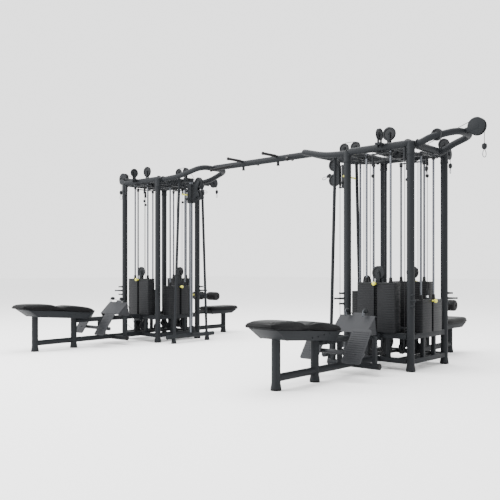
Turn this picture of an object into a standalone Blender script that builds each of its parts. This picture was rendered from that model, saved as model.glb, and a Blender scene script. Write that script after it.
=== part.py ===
"""Eight-stack cable machine: two four-post towers joined by an overhead crossover beam.

Each tower holds four weight stacks, one behind each side: a seated row station at the front, a lat
pulldown station at the back, a high pulley at the outer end, and an adjustable crossover column that
faces the other tower. X runs along the machine, Y from the row side to the lat side, Z up, in metres.
The origin is on the floor, in the middle of the machine's footprint. Inside a tower, "out" is the
distance from the tower's centre towards the machine's end, "back" is Y and "up" is Z.
"""

import math

import bmesh
import bpy
from mathutils import Matrix, Vector

# Fits and facets
GAP = 0.0003
MERGE = 0.00002
ROUND_SIDES = 10
SMALL_SIDES = 8
BEND_STEPS = 2

# Towers: the front posts stand on y = 0
TOWER_X = 1.911
HALF_WIDTH = 0.367
DEPTH = 0.748
POST_RADIUS = 0.038
POST_TOP = 2.14
FOOT_RADIUS = 0.047
FOOT_HEIGHT = 0.060
HOOK_LONG = 0.145
HOOK_SHORT = 0.092
HOOK_RADIUS = 0.010
HOOK_UP = 0.70
HOOK_STEP = 0.055

# Top ring of each tower
RING_UP = 2.25
RING_RADIUS = 0.038
RING_BEND = 0.08
SOCKET_RADIUS = 0.043
CROSS_TUBE_OUT = 0.11
CROSS_TUBE_RADIUS = 0.020

# Base of each tower
BAR = 0.050
LOWER_BAR_UP = 0.098
UPPER_BAR_UP = 0.340
STRUT = 0.040
STRUT_STEP = 0.12
PLATFORM_UP = 0.372
PLATFORM_THICK = 0.012
PLATFORM_LIP = 0.030
PLATFORM_CORNER = 0.060
CABLE_WELL = 0.30

# Weight stacks
STACK_WIDTH = 0.44
STACK_DEPTH = 0.12
STACK_PROUD = 0.050
PLATE = 0.0252
PLATE_COUNTS = {"row": 20, "lat": 20, "end": 13, "cross": 16}
SLOT_WIDTH = 0.040
SLOT_BACK = 0.022
SELECTOR_RADIUS = 0.0125
SELECTOR_FLOAT = 0.025
ROD_SPREAD = 0.14
ROD_RADIUS = 0.0115
ROD_BORE = 0.0150
ROD_TOP = 2.205
TIE_THICK = 0.010
TIE_WIDTH = 0.040
LIFT_PULLEY_RADIUS = 0.0700
LIFT_PULLEY_WIDTH = 0.024
LIFT_PULLEY_RISE = 0.098
LIFT_CHEEK = 0.040
PLATES_LIFTED = 1
STEM_RADIUS = 0.014
STEM_TALL = 0.075

# Crossover station, on the inner side of each tower
BRACE_REACH = 0.264
BRACE_BAR_RADIUS = 0.029
BRACE_BAR_UP = 0.090
BRACE_BAR_HALF = 0.440
BRACE_FOOT_HALF = 0.315
BRACE_FOOT_RADIUS = 0.036
BRACE_TUBE_RADIUS = 0.018
BRACE_LOW_HALF = 0.305
BRACE_HIGH_HALF = 0.215
BRACE_TOP = 2.255
COLUMN_RADIUS = 0.0275
COLUMN_ARM_RADIUS = 0.026
CARRIAGE_UP = 2.060
CARRIAGE_HALF = 0.038
CARRIAGE_TALL = 0.26
CARRIAGE_BORE = 0.0295
HANDLE_HALF = 0.12
HANDLE_RADIUS = 0.010
HANDLE_UP = 2.045
SWIVEL_REACH = 0.082
SWIVEL_EAR = 0.012
SWIVEL_UPS = (2.203, 2.030)
SWIVEL_PULLEY_RADIUS = 0.072
SWIVEL_PULLEY_OUT = 0.075
SWIVEL_PULLEY_WIDTH = 0.034

# Arms on top
ARM_RADIUS = 0.034
ARM_INSET = 0.060
END_ARM_BACK_INSET = 0.150
FLANGE_RADIUS = 0.046
FLANGE_THICK = 0.010
END_RISE = 0.115
END_REACH = 0.378
END_NOSE_HALF = 0.13
END_NOSE_BACK = 0.19
END_PULLEY_REACH = 0.512
END_PULLEY_UP = 2.404
END_PULLEY_RADIUS = 0.080
END_PULLEY_WIDTH = 0.040
BEAM_HALF = 0.82
BEAM_UP = 2.370
BEAM_RADIUS = 0.039
LOOP_UP = 2.362
LOOP_NOSE_HALF = 0.235
LOOP_SAG = 0.16
GRIP_X = 0.288
GRIP_HALF = 0.300
GRIP_RADIUS = 0.017
GRIP_LIFT = 0.030
WIDE_GRIP_START = 0.42
WIDE_GRIP_END = 0.64
WIDE_GRIP_FRONT = 0.26
WIDE_GRIP_DROP = 0.080
PEG_RADIUS = 0.018
PEG_DROP = 0.085

# Row station, in front of each tower
ROW_REACH = 1.895
ROW_LEG_FAR = 1.642
ROW_LEG_NEAR = 1.095
BENCH_SLOPE = 0.078
ROW_RAIL_RADIUS = 0.033
ROW_RAIL_UP = 0.103
ROW_BEAM_RADIUS = 0.031
ROW_BEAM_UP = 0.350
TBAR_FRONT = 0.46
TBAR_HALF = 0.288
TBAR_UP = 0.090
TBAR_UPRIGHT_OUT = 0.235
TBAR_UPRIGHT_TOP = 0.375
PAN_HALF = 0.150
PAN_LOW = 0.444
PAN_HIGH = 0.530
PAN_TOP_FAR = 1.815
PAN_LOW_FAR = 1.675
PAN_LOW_NEAR = 0.980
PAN_TOP_NEAR = 0.900
PAD_NEAR = 0.860
PAD_HALF = 0.170
PAD_THICK = 0.078
PAD_FALL = 0.028
PAD_DIMPLE = 0.012
FOOT_STRUT_FRONT = 0.700
FOOT_BAR_UP = 0.236
FOOT_BAR_RADIUS = 0.023
FOOTPLATE_IN = 0.132
FOOTPLATE_WIDE = 0.204
FOOTPLATE_THICK = 0.012
FOOTPLATE_LOW = (0.885, 0.165)
FOOTPLATE_HIGH = (0.680, 0.460)
COVER_HALF = 0.200
COVER_LOW = (0.545, 0.408)
COVER_HIGH = (0.385, 0.560)
COVER_THICK = 0.012
COVER_WALL_UP = 0.37

# Lat station, behind each tower
LAT_REACH = 1.147
LAT_LEG_BACK = 0.926
LAT_MAST_BACK = 0.345
LAT_MAST_RADIUS = 0.026
LAT_MAST_TOP = 0.76
LAT_PAN_HALF = 0.145
LAT_PAN_LOW = 0.310
LAT_PAN_HIGH = 0.372
LAT_SEAT_NEAR = 0.500
LAT_SEAT_HALF = 0.170
LAT_SEAT_TOP = 0.430
ROLLER_RADIUS = 0.064
ROLLER_BACK = 0.530
ROLLER_UP = 0.595
ROLLER_IN = 0.060
ROLLER_OUT = 0.262
ROLLER_SLEEVE = 0.040
ROLLER_SLEEVE_TALL = 0.110
ROLLER_SLEEVE_BORE = 0.0285
ROLLER_AXLE_RADIUS = 0.018
LAT_ARM_RISE = 0.095
LAT_ARM_REACH = 0.558
LAT_ARM_CROSS_HALF = 0.150
LAT_PULLEY_RADIUS = 0.070
LAT_PULLEY_WIDTH = 0.034

MIDDLE = DEPTH / 2
STACK_LOW = PLATFORM_UP + GAP
SIDES = {"left": -1, "right": 1}
FACINGS = {"row": (0, -1), "lat": (0, 1), "end": (1, 0), "cross": (-1, 0)}

CHARCOAL = ("charcoal powder coat", (0.034, 0.038, 0.043), 0.45, 0.25)
PLATE_BLACK = ("stack black", (0.022, 0.023, 0.025), 0.50, 0.30)
CHROME = ("chrome", (0.75, 0.76, 0.78), 0.12, 1.00)
PULLEY_GREY = ("pulley nylon", (0.045, 0.048, 0.052), 0.40, 0.00)
VINYL = ("black vinyl", (0.018, 0.018, 0.019), 0.55, 0.00)
PANEL_GREY = ("panel grey", (0.090, 0.094, 0.100), 0.50, 0.20)


def clear_scene():
    for old in list(bpy.data.objects):
        bpy.data.objects.remove(old, do_unlink=True)


def new_collection(name):
    collection = bpy.data.collections.new(name)
    bpy.context.scene.collection.children.link(collection)
    return collection


def finish(coat):
    """Principled material made once for each coat."""
    name, colour, roughness, metallic = coat
    known = bpy.data.materials.get(name)
    if known:
        return known
    material = bpy.data.materials.new(name)
    material.use_nodes = True
    shader = material.node_tree.nodes["Principled BSDF"]
    shader.inputs["Base Color"].default_value = (*colour, 1.0)
    shader.inputs["Roughness"].default_value = roughness
    shader.inputs["Metallic"].default_value = metallic
    return material


def spot(side, out, back, up):
    """World point of a place in one tower."""
    return Vector((SIDES[side] * (TOWER_X + out), back, up))


def evaluated_mesh(obj):
    graph = bpy.context.evaluated_depsgraph_get()
    return bpy.data.meshes.new_from_object(obj.evaluated_get(graph))


def blank(mesh):
    """Loose object in the cutters' collection."""
    obj = bpy.data.objects.new("blank", mesh)
    obj.hide_render = True
    obj.display_type = "WIRE"
    bpy.data.collections["cutters"].objects.link(obj)
    return obj


def from_bmesh(bm):
    mesh = bpy.data.meshes.new("blank")
    bm.to_mesh(mesh)
    bm.free()
    return blank(mesh)


def tidied(mesh):
    """Mesh with the slivers of a joint or a cap merged away."""
    bm = bmesh.new()
    bm.from_mesh(mesh)
    bmesh.ops.remove_doubles(bm, verts=bm.verts, dist=MERGE)
    bmesh.ops.dissolve_degenerate(bm, dist=MERGE, edges=bm.edges)
    bm.to_mesh(mesh)
    bm.free()
    return mesh


def block(corner, opposite):
    """Closed box between two opposite corners."""
    bm = bmesh.new()
    bmesh.ops.create_cube(bm, size=1.0)
    size = [abs(b - a) for a, b in zip(corner, opposite)]
    bmesh.ops.scale(bm, vec=size, verts=bm.verts)
    bmesh.ops.translate(bm, vec=(Vector(corner) + Vector(opposite)) / 2, verts=bm.verts)
    return from_bmesh(bm)


def rod(start, end, radius, end_radius=None, sides=ROUND_SIDES):
    """Closed round bar between two points, tapered where an end radius is given."""
    start, end = Vector(start), Vector(end)
    far_radius = radius if end_radius is None else end_radius
    bm = bmesh.new()
    bmesh.ops.create_cone(bm, cap_ends=True, segments=sides, radius1=radius, radius2=far_radius,
                          depth=(end - start).length)
    turn = (end - start).to_track_quat("Z", "Y").to_matrix().to_4x4()
    bmesh.ops.transform(bm, matrix=Matrix.Translation((start + end) / 2) @ turn, verts=bm.verts)
    return from_bmesh(bm)


def eased(points, bend, cyclic):
    """Path with each corner replaced by a short curve that starts one bend length from it."""
    path = []
    last = len(points) - 1
    for index, corner in enumerate(points):
        if not cyclic and index in (0, last):
            path.append(corner)
            continue
        before = points[index - 1] - corner
        after = points[(index + 1) % len(points)] - corner
        reach = min(bend, before.length * 0.45, after.length * 0.45)
        enter = corner + before.normalized() * reach
        leave = corner + after.normalized() * reach
        for step in range(BEND_STEPS + 1):
            t = step / BEND_STEPS
            path.append(enter * (1 - t) ** 2 + corner * 2 * t * (1 - t) + leave * t ** 2)
    return path


def tube(points, radius, bend=0.05, cyclic=False):
    """Closed round tube along a path, made as a bevelled curve and turned into a mesh."""
    path = eased([Vector(point) for point in points], bend, cyclic)
    curve = bpy.data.curves.new("tube", "CURVE")
    curve.dimensions = "3D"
    curve.bevel_depth = radius
    curve.bevel_resolution = (ROUND_SIDES - 4) // 2
    curve.use_fill_caps = not cyclic
    spline = curve.splines.new("POLY")
    spline.points.add(len(path) - 1)
    for point, place in zip(spline.points, path):
        point.co = (*place, 1.0)
    spline.use_cyclic_u = cyclic
    shape = bpy.data.objects.new("tube", curve)
    bpy.data.collections["cutters"].objects.link(shape)
    mesh = tidied(evaluated_mesh(shape))
    bpy.data.objects.remove(shape)
    return blank(mesh)


def turned(profile, foot):
    """Solid of revolution about a vertical axis through foot; the profile runs from top to bottom."""
    bm = bmesh.new()
    points = [bm.verts.new((radius, 0.0, height)) for radius, height in profile]
    for upper, lower in zip(points, points[1:]):
        bm.edges.new((upper, lower))
    outline = from_bmesh(bm)
    screw = outline.modifiers.new("turn", "SCREW")
    screw.steps = ROUND_SIDES
    screw.render_steps = ROUND_SIDES
    screw.use_merge_vertices = True
    screw.merge_threshold = MERGE
    mesh = evaluated_mesh(outline)
    mesh.transform(Matrix.Translation(foot))
    bpy.data.objects.remove(outline)
    return blank(mesh)


def prism(outline, start, end, across):
    """Closed prism: an outline of (back, up) points pushed along X from start to end."""
    curve = bpy.data.curves.new("prism", "CURVE")
    curve.dimensions = "2D"
    curve.fill_mode = "BOTH"
    curve.extrude = abs(end - start) / 2
    spline = curve.splines.new("POLY")
    spline.points.add(len(outline) - 1)
    for point, (back, up) in zip(spline.points, outline):
        point.co = (back, up, 0.0, 1.0)
    spline.use_cyclic_u = True
    shape = bpy.data.objects.new("prism", curve)
    bpy.data.collections["cutters"].objects.link(shape)
    mesh = evaluated_mesh(shape)
    stand = Matrix(((0, 0, 1, across + (start + end) / 2), (1, 0, 0, 0), (0, 1, 0, 0), (0, 0, 0, 1)))
    mesh.transform(stand)
    bpy.data.objects.remove(shape)
    return blank(tidied(mesh))


def combine(body, tools, operation):
    """Exact Boolean of a solid with a list of solids, which are used up."""
    if not tools:
        return body
    group = new_collection("tools")
    for tool in tools:
        group.objects.link(tool)
    boolean = body.modifiers.new(operation.lower(), "BOOLEAN")
    boolean.operation = operation
    boolean.solver = "EXACT"
    boolean.operand_type = "COLLECTION"
    boolean.collection = group
    mesh = tidied(evaluated_mesh(body))
    for used in (body, *tools):
        bpy.data.objects.remove(used)
    bpy.data.collections.remove(group)
    return blank(mesh)


def node(name, coat, pieces, cuts=(), origin=(0, 0, 0)):
    """One named solid: its pieces joined, its cuts taken out, its origin on its joint."""
    solid = combine(pieces[0], list(pieces[1:]), "UNION")
    solid = combine(solid, list(cuts), "DIFFERENCE")
    solid.name = name
    solid.data.name = name
    solid.data.transform(Matrix.Translation(-Vector(origin)))
    solid.location = origin
    solid.data.materials.clear()
    solid.data.materials.append(finish(coat))
    solid.data.shade_smooth()
    solid.data.set_sharp_from_angle(angle=math.radians(40))
    solid.hide_render = False
    solid.display_type = "TEXTURED"
    bpy.data.collections["cutters"].objects.unlink(solid)
    bpy.data.collections["cable_machine"].objects.link(solid)
    return solid


def footed_post(foot, top, radius, foot_radius=FOOT_RADIUS):
    """Round post with a flared rubber-shod foot."""
    toe = FOOT_HEIGHT * 0.25
    profile = [(0.0, top), (radius, top), (radius, FOOT_HEIGHT), (foot_radius, toe), (foot_radius, 0.0),
               (0.0, 0.0)]
    return turned(profile, foot)


def build_posts(side):
    """Four corner posts, each with three pegs that point away from the tower for hanging grips."""
    for column, out in (("inner", -HALF_WIDTH), ("outer", HALF_WIDTH)):
        for row, back in (("front", 0.0), ("back", DEPTH)):
            foot = spot(side, out, back, 0.0)
            outward = SIDES[side] * math.copysign(1, out)
            aim = Vector((outward, math.copysign(1, back - MIDDLE), 0)) / math.sqrt(2)
            pieces = [footed_post(foot, POST_TOP, POST_RADIUS)]
            for level, length in ((-1, HOOK_SHORT), (0, HOOK_LONG), (1, HOOK_SHORT)):
                root = foot + Vector((0, 0, HOOK_UP + level * HOOK_STEP))
                pieces.append(rod(root, root + aim * length, HOOK_RADIUS, HOOK_RADIUS / 2, SMALL_SIDES))
            node(f"{side}_{row}_{column}_post", CHARCOAL, pieces)


def build_base_frame(side):
    """Two rings of square tube tied by short struts, with the platform that the stacks stand on."""
    half = BAR / 2
    across = HALF_WIDTH - POST_RADIUS - GAP
    front, back = POST_RADIUS + GAP, DEPTH - POST_RADIUS - GAP
    pieces = []
    for up in (LOWER_BAR_UP, UPPER_BAR_UP):
        for line in (0.0, DEPTH):
            pieces.append(block(spot(side, -across, line - half, up - half),
                                spot(side, across, line + half, up + half)))
        for line in (-HALF_WIDTH, HALF_WIDTH):
            pieces.append(block(spot(side, line - half, front, up - half),
                                spot(side, line + half, back, up + half)))
    for step in (-STRUT_STEP, STRUT_STEP):
        for line in (0.0, DEPTH):
            pieces.append(block(spot(side, step - STRUT / 2, line - STRUT / 2, LOWER_BAR_UP),
                                spot(side, step + STRUT / 2, line + STRUT / 2, UPPER_BAR_UP)))
        for line in (-HALF_WIDTH, HALF_WIDTH):
            middle = MIDDLE + step
            pieces.append(block(spot(side, line - STRUT / 2, middle - STRUT / 2, LOWER_BAR_UP),
                                spot(side, line + STRUT / 2, middle + STRUT / 2, UPPER_BAR_UP)))
    low, high = PLATFORM_UP - PLATFORM_THICK, PLATFORM_UP
    wide, narrow = HALF_WIDTH + PLATFORM_LIP, HALF_WIDTH - PLATFORM_CORNER
    pieces.append(block(spot(side, -narrow, -PLATFORM_LIP, low),
                        spot(side, narrow, DEPTH + PLATFORM_LIP, high)))
    pieces.append(block(spot(side, -wide, PLATFORM_CORNER, low + GAP),
                        spot(side, wide, DEPTH - PLATFORM_CORNER, high - GAP)))
    well = block(spot(side, -CABLE_WELL / 2, MIDDLE - CABLE_WELL / 2, low - BAR),
                 spot(side, CABLE_WELL / 2, MIDDLE + CABLE_WELL / 2, high + BAR))
    node(f"{side}_base_frame", CHARCOAL, pieces, [well])


def build_top_frame(side):
    """Bent ring over the four posts, two cross tubes, and the arm over the crossover column."""
    corners = [spot(side, out, back, RING_UP) for out, back in
               ((-HALF_WIDTH, 0.0), (HALF_WIDTH, 0.0), (HALF_WIDTH, DEPTH), (-HALF_WIDTH, DEPTH))]
    pieces = [tube(corners, RING_RADIUS, RING_BEND, cyclic=True)]
    for corner in corners:
        under = Vector((corner.x, corner.y, POST_TOP + GAP))
        pieces.append(rod(under, corner + Vector((0, 0, RING_RADIUS * 0.4)), SOCKET_RADIUS))
    for out in (-CROSS_TUBE_OUT, CROSS_TUBE_OUT):
        pieces.append(rod(spot(side, out, 0.0, RING_UP), spot(side, out, DEPTH, RING_UP),
                          CROSS_TUBE_RADIUS))
    reach = HALF_WIDTH + BRACE_REACH + COLUMN_RADIUS * 1.4
    pieces.append(rod(spot(side, -HALF_WIDTH, MIDDLE, RING_UP), spot(side, -reach, MIDDLE, RING_UP),
                      COLUMN_ARM_RADIUS))
    node(f"{side}_top_frame", CHARCOAL, pieces)


def station_line(kind):
    """Middle of a stack in its tower, with the directions it faces and runs along."""
    facing = Vector((*FACINGS[kind], 0.0))
    along = Vector((abs(facing.y), abs(facing.x), 0.0))
    centre_to_post_line = HALF_WIDTH if facing.x else DEPTH / 2
    reach = centre_to_post_line + STACK_PROUD - STACK_DEPTH / 2
    return Vector((0.0, MIDDLE, 0.0)) + facing * reach, facing, along


def in_tower(side, place):
    return spot(side, place.x, place.y, place.z)


def stack_cuts(side, kind, low, high):
    """Bores for the two guide rods and the open slot for the selector rod."""
    centre, facing, along = station_line(kind)
    cuts = []
    for spread in (-ROD_SPREAD, ROD_SPREAD):
        foot = centre + along * spread
        start = in_tower(side, foot + Vector((0, 0, low - PLATE)))
        end = in_tower(side, foot + Vector((0, 0, high + PLATE)))
        cuts.append(rod(start, end, ROD_BORE, sides=SMALL_SIDES))
    return cuts


def slab(side, kind, low, high, width, front, rear):
    """Box in a stack's own directions: width along it, front and rear measured from its middle."""
    centre, facing, along = station_line(kind)
    corner = centre + along * (-width / 2) + facing * front + Vector((0, 0, low))
    opposite = centre + along * (width / 2) - facing * rear + Vector((0, 0, high))
    return block(in_tower(side, corner), in_tower(side, opposite))


def lift_head(side, kind, full):
    """What the cable pulls on: a stem on the end stack, a pulley in a fork on the others."""
    centre, facing, along = station_line(kind)
    if kind == "end":
        foot = in_tower(side, centre + Vector((0, 0, full - PLATE / 2)))
        return [rod(foot, foot + Vector((0, 0, STEM_TALL)), STEM_RADIUS, sides=SMALL_SIDES)]
    half = LIFT_CHEEK / 2
    cheeks = slab(side, kind, full - PLATE / 2, full + LIFT_PULLEY_RISE, LIFT_CHEEK, half, half)
    axle = centre + Vector((0, 0, full + LIFT_PULLEY_RISE))
    wheel = rod(in_tower(side, axle - facing * LIFT_PULLEY_WIDTH / 2),
                in_tower(side, axle + facing * LIFT_PULLEY_WIDTH / 2), LIFT_PULLEY_RADIUS)
    return [cheeks, wheel]


def build_stacks(side):
    """Each stack in two solids: the standing plates, and the picked plate on its selector rod."""
    half = STACK_DEPTH / 2
    for kind in FACINGS:
        centre, facing, along = station_line(kind)
        full = STACK_LOW + PLATE * PLATE_COUNTS[kind]
        split = full - PLATES_LIFTED * PLATE
        slot = slab(side, kind, STACK_LOW - PLATE, split + PLATE, SLOT_WIDTH, half + PLATE, SLOT_BACK)
        standing = slab(side, kind, STACK_LOW, split - GAP, STACK_WIDTH, half, half)
        cuts = stack_cuts(side, kind, STACK_LOW, split)
        node(f"{side}_{kind}_stack", PLATE_BLACK, [standing], [slot, *cuts])

        picked = slab(side, kind, split, full, STACK_WIDTH, half, half)
        picked = combine(picked, stack_cuts(side, kind, split, full), "DIFFERENCE")
        selector = rod(in_tower(side, centre + Vector((0, 0, STACK_LOW + SELECTOR_FLOAT))),
                       in_tower(side, centre + Vector((0, 0, split + PLATE / 2))),
                       SELECTOR_RADIUS, sides=SMALL_SIDES)
        pieces = [picked, selector, *lift_head(side, kind, full)]
        top = in_tower(side, centre + Vector((0, 0, full)))
        node(f"{side}_{kind}_lift", PLATE_BLACK, pieces, origin=top)


def build_guide_rods(side):
    """Four pairs of polished rods, tied together under the top ring by flat straps."""
    low, high = PLATFORM_UP + GAP, ROD_TOP
    tie_low, tie_high = ROD_TOP - 2 * TIE_THICK, ROD_TOP - TIE_THICK
    pieces = []
    arm = {}
    for kind in FACINGS:
        centre, facing, along = station_line(kind)
        arm[kind] = centre
        pieces.append(slab(side, kind, tie_low, tie_high, 2 * ROD_SPREAD + TIE_WIDTH, TIE_WIDTH / 2,
                           TIE_WIDTH / 2))
        for spread in (-ROD_SPREAD, ROD_SPREAD):
            foot = in_tower(side, centre + along * spread + Vector((0, 0, low)))
            top = Vector((foot.x, foot.y, high))
            pieces.append(rod(foot, top, ROD_RADIUS, sides=SMALL_SIDES))
    half = TIE_WIDTH / 2
    skin = TIE_THICK / 10
    pieces.append(block(spot(side, -half, arm["row"].y, tie_low + skin),
                        spot(side, half, arm["lat"].y, tie_high - skin)))
    pieces.append(block(spot(side, arm["cross"].x, MIDDLE - half, tie_low + 2 * skin),
                        spot(side, arm["end"].x, MIDDLE + half, tie_high - 2 * skin)))
    node(f"{side}_guide_rods", CHROME, pieces)


def build_crossover_station(side):
    """Base bar with two slanted tubes, the chrome column, its carriage and the swivelling pulleys."""
    out = -(HALF_WIDTH + BRACE_REACH)
    bar_start = spot(side, out, MIDDLE - BRACE_BAR_HALF, BRACE_BAR_UP)
    bar_end = spot(side, out, MIDDLE + BRACE_BAR_HALF, BRACE_BAR_UP)
    pieces = [rod(bar_start, bar_end, BRACE_BAR_RADIUS)]
    for way in (-1, 1):
        foot = spot(side, out, MIDDLE + way * BRACE_FOOT_HALF, 0.0)
        sunk = Vector((0, 0, BRACE_BAR_UP - BRACE_BAR_RADIUS * 0.35))
        pieces.append(rod(foot, foot + sunk, BRACE_FOOT_RADIUS, BRACE_FOOT_RADIUS * 0.9))
        low = spot(side, out, MIDDLE + way * BRACE_LOW_HALF, BRACE_BAR_UP + BRACE_BAR_RADIUS / 3)
        high = spot(side, out, MIDDLE + way * BRACE_HIGH_HALF, BRACE_TOP)
        pieces.append(rod(low, high, BRACE_TUBE_RADIUS))
    node(f"{side}_cross_brace", CHARCOAL, pieces)

    low = spot(side, out, MIDDLE, BRACE_BAR_UP + BRACE_BAR_RADIUS + GAP)
    high = spot(side, out, MIDDLE, RING_UP - COLUMN_ARM_RADIUS - GAP)
    node(f"{side}_column", CHROME, [rod(low, high, COLUMN_RADIUS)])

    centre = spot(side, out, MIDDLE, CARRIAGE_UP)
    half = Vector((CARRIAGE_HALF, CARRIAGE_HALF, CARRIAGE_TALL / 2))
    beyond = Vector((0, 0, CARRIAGE_TALL))
    bore = rod(centre - beyond, centre + beyond, CARRIAGE_BORE)
    sleeve = combine(block(centre - half, centre + half), [bore], "DIFFERENCE")
    pieces = [sleeve]
    bar_out = out + CARRIAGE_HALF + HANDLE_RADIUS * 0.5
    pieces.append(rod(spot(side, bar_out, MIDDLE - HANDLE_HALF, HANDLE_UP),
                      spot(side, bar_out, MIDDLE + HANDLE_HALF, HANDLE_UP), HANDLE_RADIUS,
                      sides=SMALL_SIDES))
    pivot = out + SWIVEL_REACH * -1
    top, bottom = (CARRIAGE_UP + CARRIAGE_TALL / 2, CARRIAGE_UP - CARRIAGE_TALL / 2)
    for low in (top - SWIVEL_EAR - GAP, bottom + GAP):
        root = out - (CARRIAGE_HALF + CARRIAGE_BORE) / 2
        pieces.append(block(spot(side, pivot - SWIVEL_EAR, MIDDLE - SWIVEL_EAR, low),
                            spot(side, root, MIDDLE + SWIVEL_EAR, low + SWIVEL_EAR)))
    node(f"{side}_carriage", CHARCOAL, pieces, origin=centre)

    spine_low, spine_high = bottom + SWIVEL_EAR + 3 * GAP, top - SWIVEL_EAR - 3 * GAP
    spine = rod(spot(side, pivot, MIDDLE, spine_low), spot(side, pivot, MIDDLE, spine_high), SWIVEL_EAR)
    wheel_out = pivot - SWIVEL_PULLEY_OUT
    frame_half = SWIVEL_EAR * 0.8
    web = block(spot(side, pivot, MIDDLE - frame_half, spine_low + SWIVEL_EAR),
                spot(side, wheel_out, MIDDLE + frame_half, spine_high - SWIVEL_EAR))
    pieces = [spine, web]
    for up in SWIVEL_UPS:
        pieces.append(rod(spot(side, wheel_out, MIDDLE - SWIVEL_PULLEY_WIDTH / 2, up),
                          spot(side, wheel_out, MIDDLE + SWIVEL_PULLEY_WIDTH / 2, up),
                          SWIVEL_PULLEY_RADIUS))
    wheels_top = SWIVEL_UPS[0] + SWIVEL_PULLEY_RADIUS * 2
    wheels_bottom = SWIVEL_UPS[1] - SWIVEL_PULLEY_RADIUS * 2
    clearance = block(spot(side, pivot + 2 * SWIVEL_EAR, 0.0, top + GAP - SWIVEL_EAR * 3),
                      spot(side, pivot - SWIVEL_EAR * 1.7, DEPTH, wheels_top))
    clearance_low = block(spot(side, pivot + 2 * SWIVEL_EAR, 0.0, wheels_bottom),
                          spot(side, pivot - SWIVEL_EAR * 1.7, DEPTH, bottom - GAP + SWIVEL_EAR * 3))
    wheels = combine(pieces[2], pieces[3:], "UNION")
    wheels = combine(wheels, [clearance, clearance_low], "DIFFERENCE")
    node(f"{side}_swivel_pulleys", PULLEY_GREY, [spine, web, wheels],
         origin=spot(side, pivot, MIDDLE, CARRIAGE_UP))


def build_end_arm(side):
    """U-shaped tube from the outer posts' tops, with a fork that holds the high end pulley."""
    start = HALF_WIDTH + RING_RADIUS + 5 * GAP
    nose_out, nose_up = HALF_WIDTH + END_REACH, RING_UP + END_RISE
    shoulder = start + END_REACH * 0.35
    path = []
    roots = {-1: ARM_INSET, 1: DEPTH - END_ARM_BACK_INSET}
    noses = {-1: MIDDLE - END_NOSE_HALF, 1: MIDDLE + END_NOSE_BACK}
    for way, root in roots.items():
        half_path = [(start, root, RING_UP), (start + FLANGE_RADIUS, root, RING_UP + END_RISE * 0.1),
                     (shoulder, root + (MIDDLE - root) * 0.06, RING_UP + END_RISE * 0.45),
                     (nose_out, noses[way], nose_up)]
        points = [spot(side, *place) for place in half_path]
        path += points if way < 0 else points[::-1]
    pieces = [tube(path, ARM_RADIUS, bend=0.11)]
    for back in roots.values():
        pieces.append(rod(spot(side, start - GAP, back, RING_UP),
                          spot(side, start + FLANGE_THICK, back, RING_UP), FLANGE_RADIUS))
    fork_half = END_PULLEY_WIDTH / 2 + FLANGE_THICK
    for way in (-1, 1):
        inner, outer = END_PULLEY_WIDTH / 2 + 2 * GAP, fork_half
        pieces.append(block(spot(side, nose_out, MIDDLE + way * inner, nose_up - ARM_RADIUS / 2),
                            spot(side, HALF_WIDTH + END_PULLEY_REACH + ARM_RADIUS, MIDDLE + way * outer,
                                 END_PULLEY_UP + ARM_RADIUS / 2)))
    node(f"{side}_end_arm", CHARCOAL, pieces)

    axle = spot(side, HALF_WIDTH + END_PULLEY_REACH, MIDDLE, END_PULLEY_UP)
    half = Vector((0, END_PULLEY_WIDTH / 2, 0))
    wheel = rod(axle - half, axle + half, END_PULLEY_RADIUS, sides=2 * SMALL_SIDES)
    node(f"{side}_end_pulley", PULLEY_GREY, [wheel], origin=axle)


def build_lat_arm(side):
    """Single arm behind the tower, with a cross tube that carries a fixed pulley at each end."""
    start = DEPTH + RING_RADIUS + 5 * GAP
    far, high = DEPTH + LAT_ARM_REACH, RING_UP + LAT_ARM_RISE
    path = [spot(side, 0.0, start, RING_UP), spot(side, 0.0, start + FLANGE_RADIUS, RING_UP + 0.005),
            spot(side, 0.0, DEPTH + LAT_ARM_REACH * 0.6, high), spot(side, 0.0, far + ARM_RADIUS, high)]
    pieces = [tube(path, ARM_RADIUS, bend=0.10)]
    pieces.append(rod(path[0], path[0] + Vector((0, FLANGE_THICK, 0)), FLANGE_RADIUS))
    pieces.append(rod(spot(side, -LAT_ARM_CROSS_HALF, far, high),
                      spot(side, LAT_ARM_CROSS_HALF, far, high), ARM_RADIUS * 0.7))
    for way in (-1, 1):
        middle = way * LAT_ARM_CROSS_HALF
        pieces.append(rod(spot(side, middle - LAT_PULLEY_WIDTH / 2, far, high),
                          spot(side, middle + LAT_PULLEY_WIDTH / 2, far, high), LAT_PULLEY_RADIUS))
    node(f"{side}_lat_arm", CHARCOAL, pieces)


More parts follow.
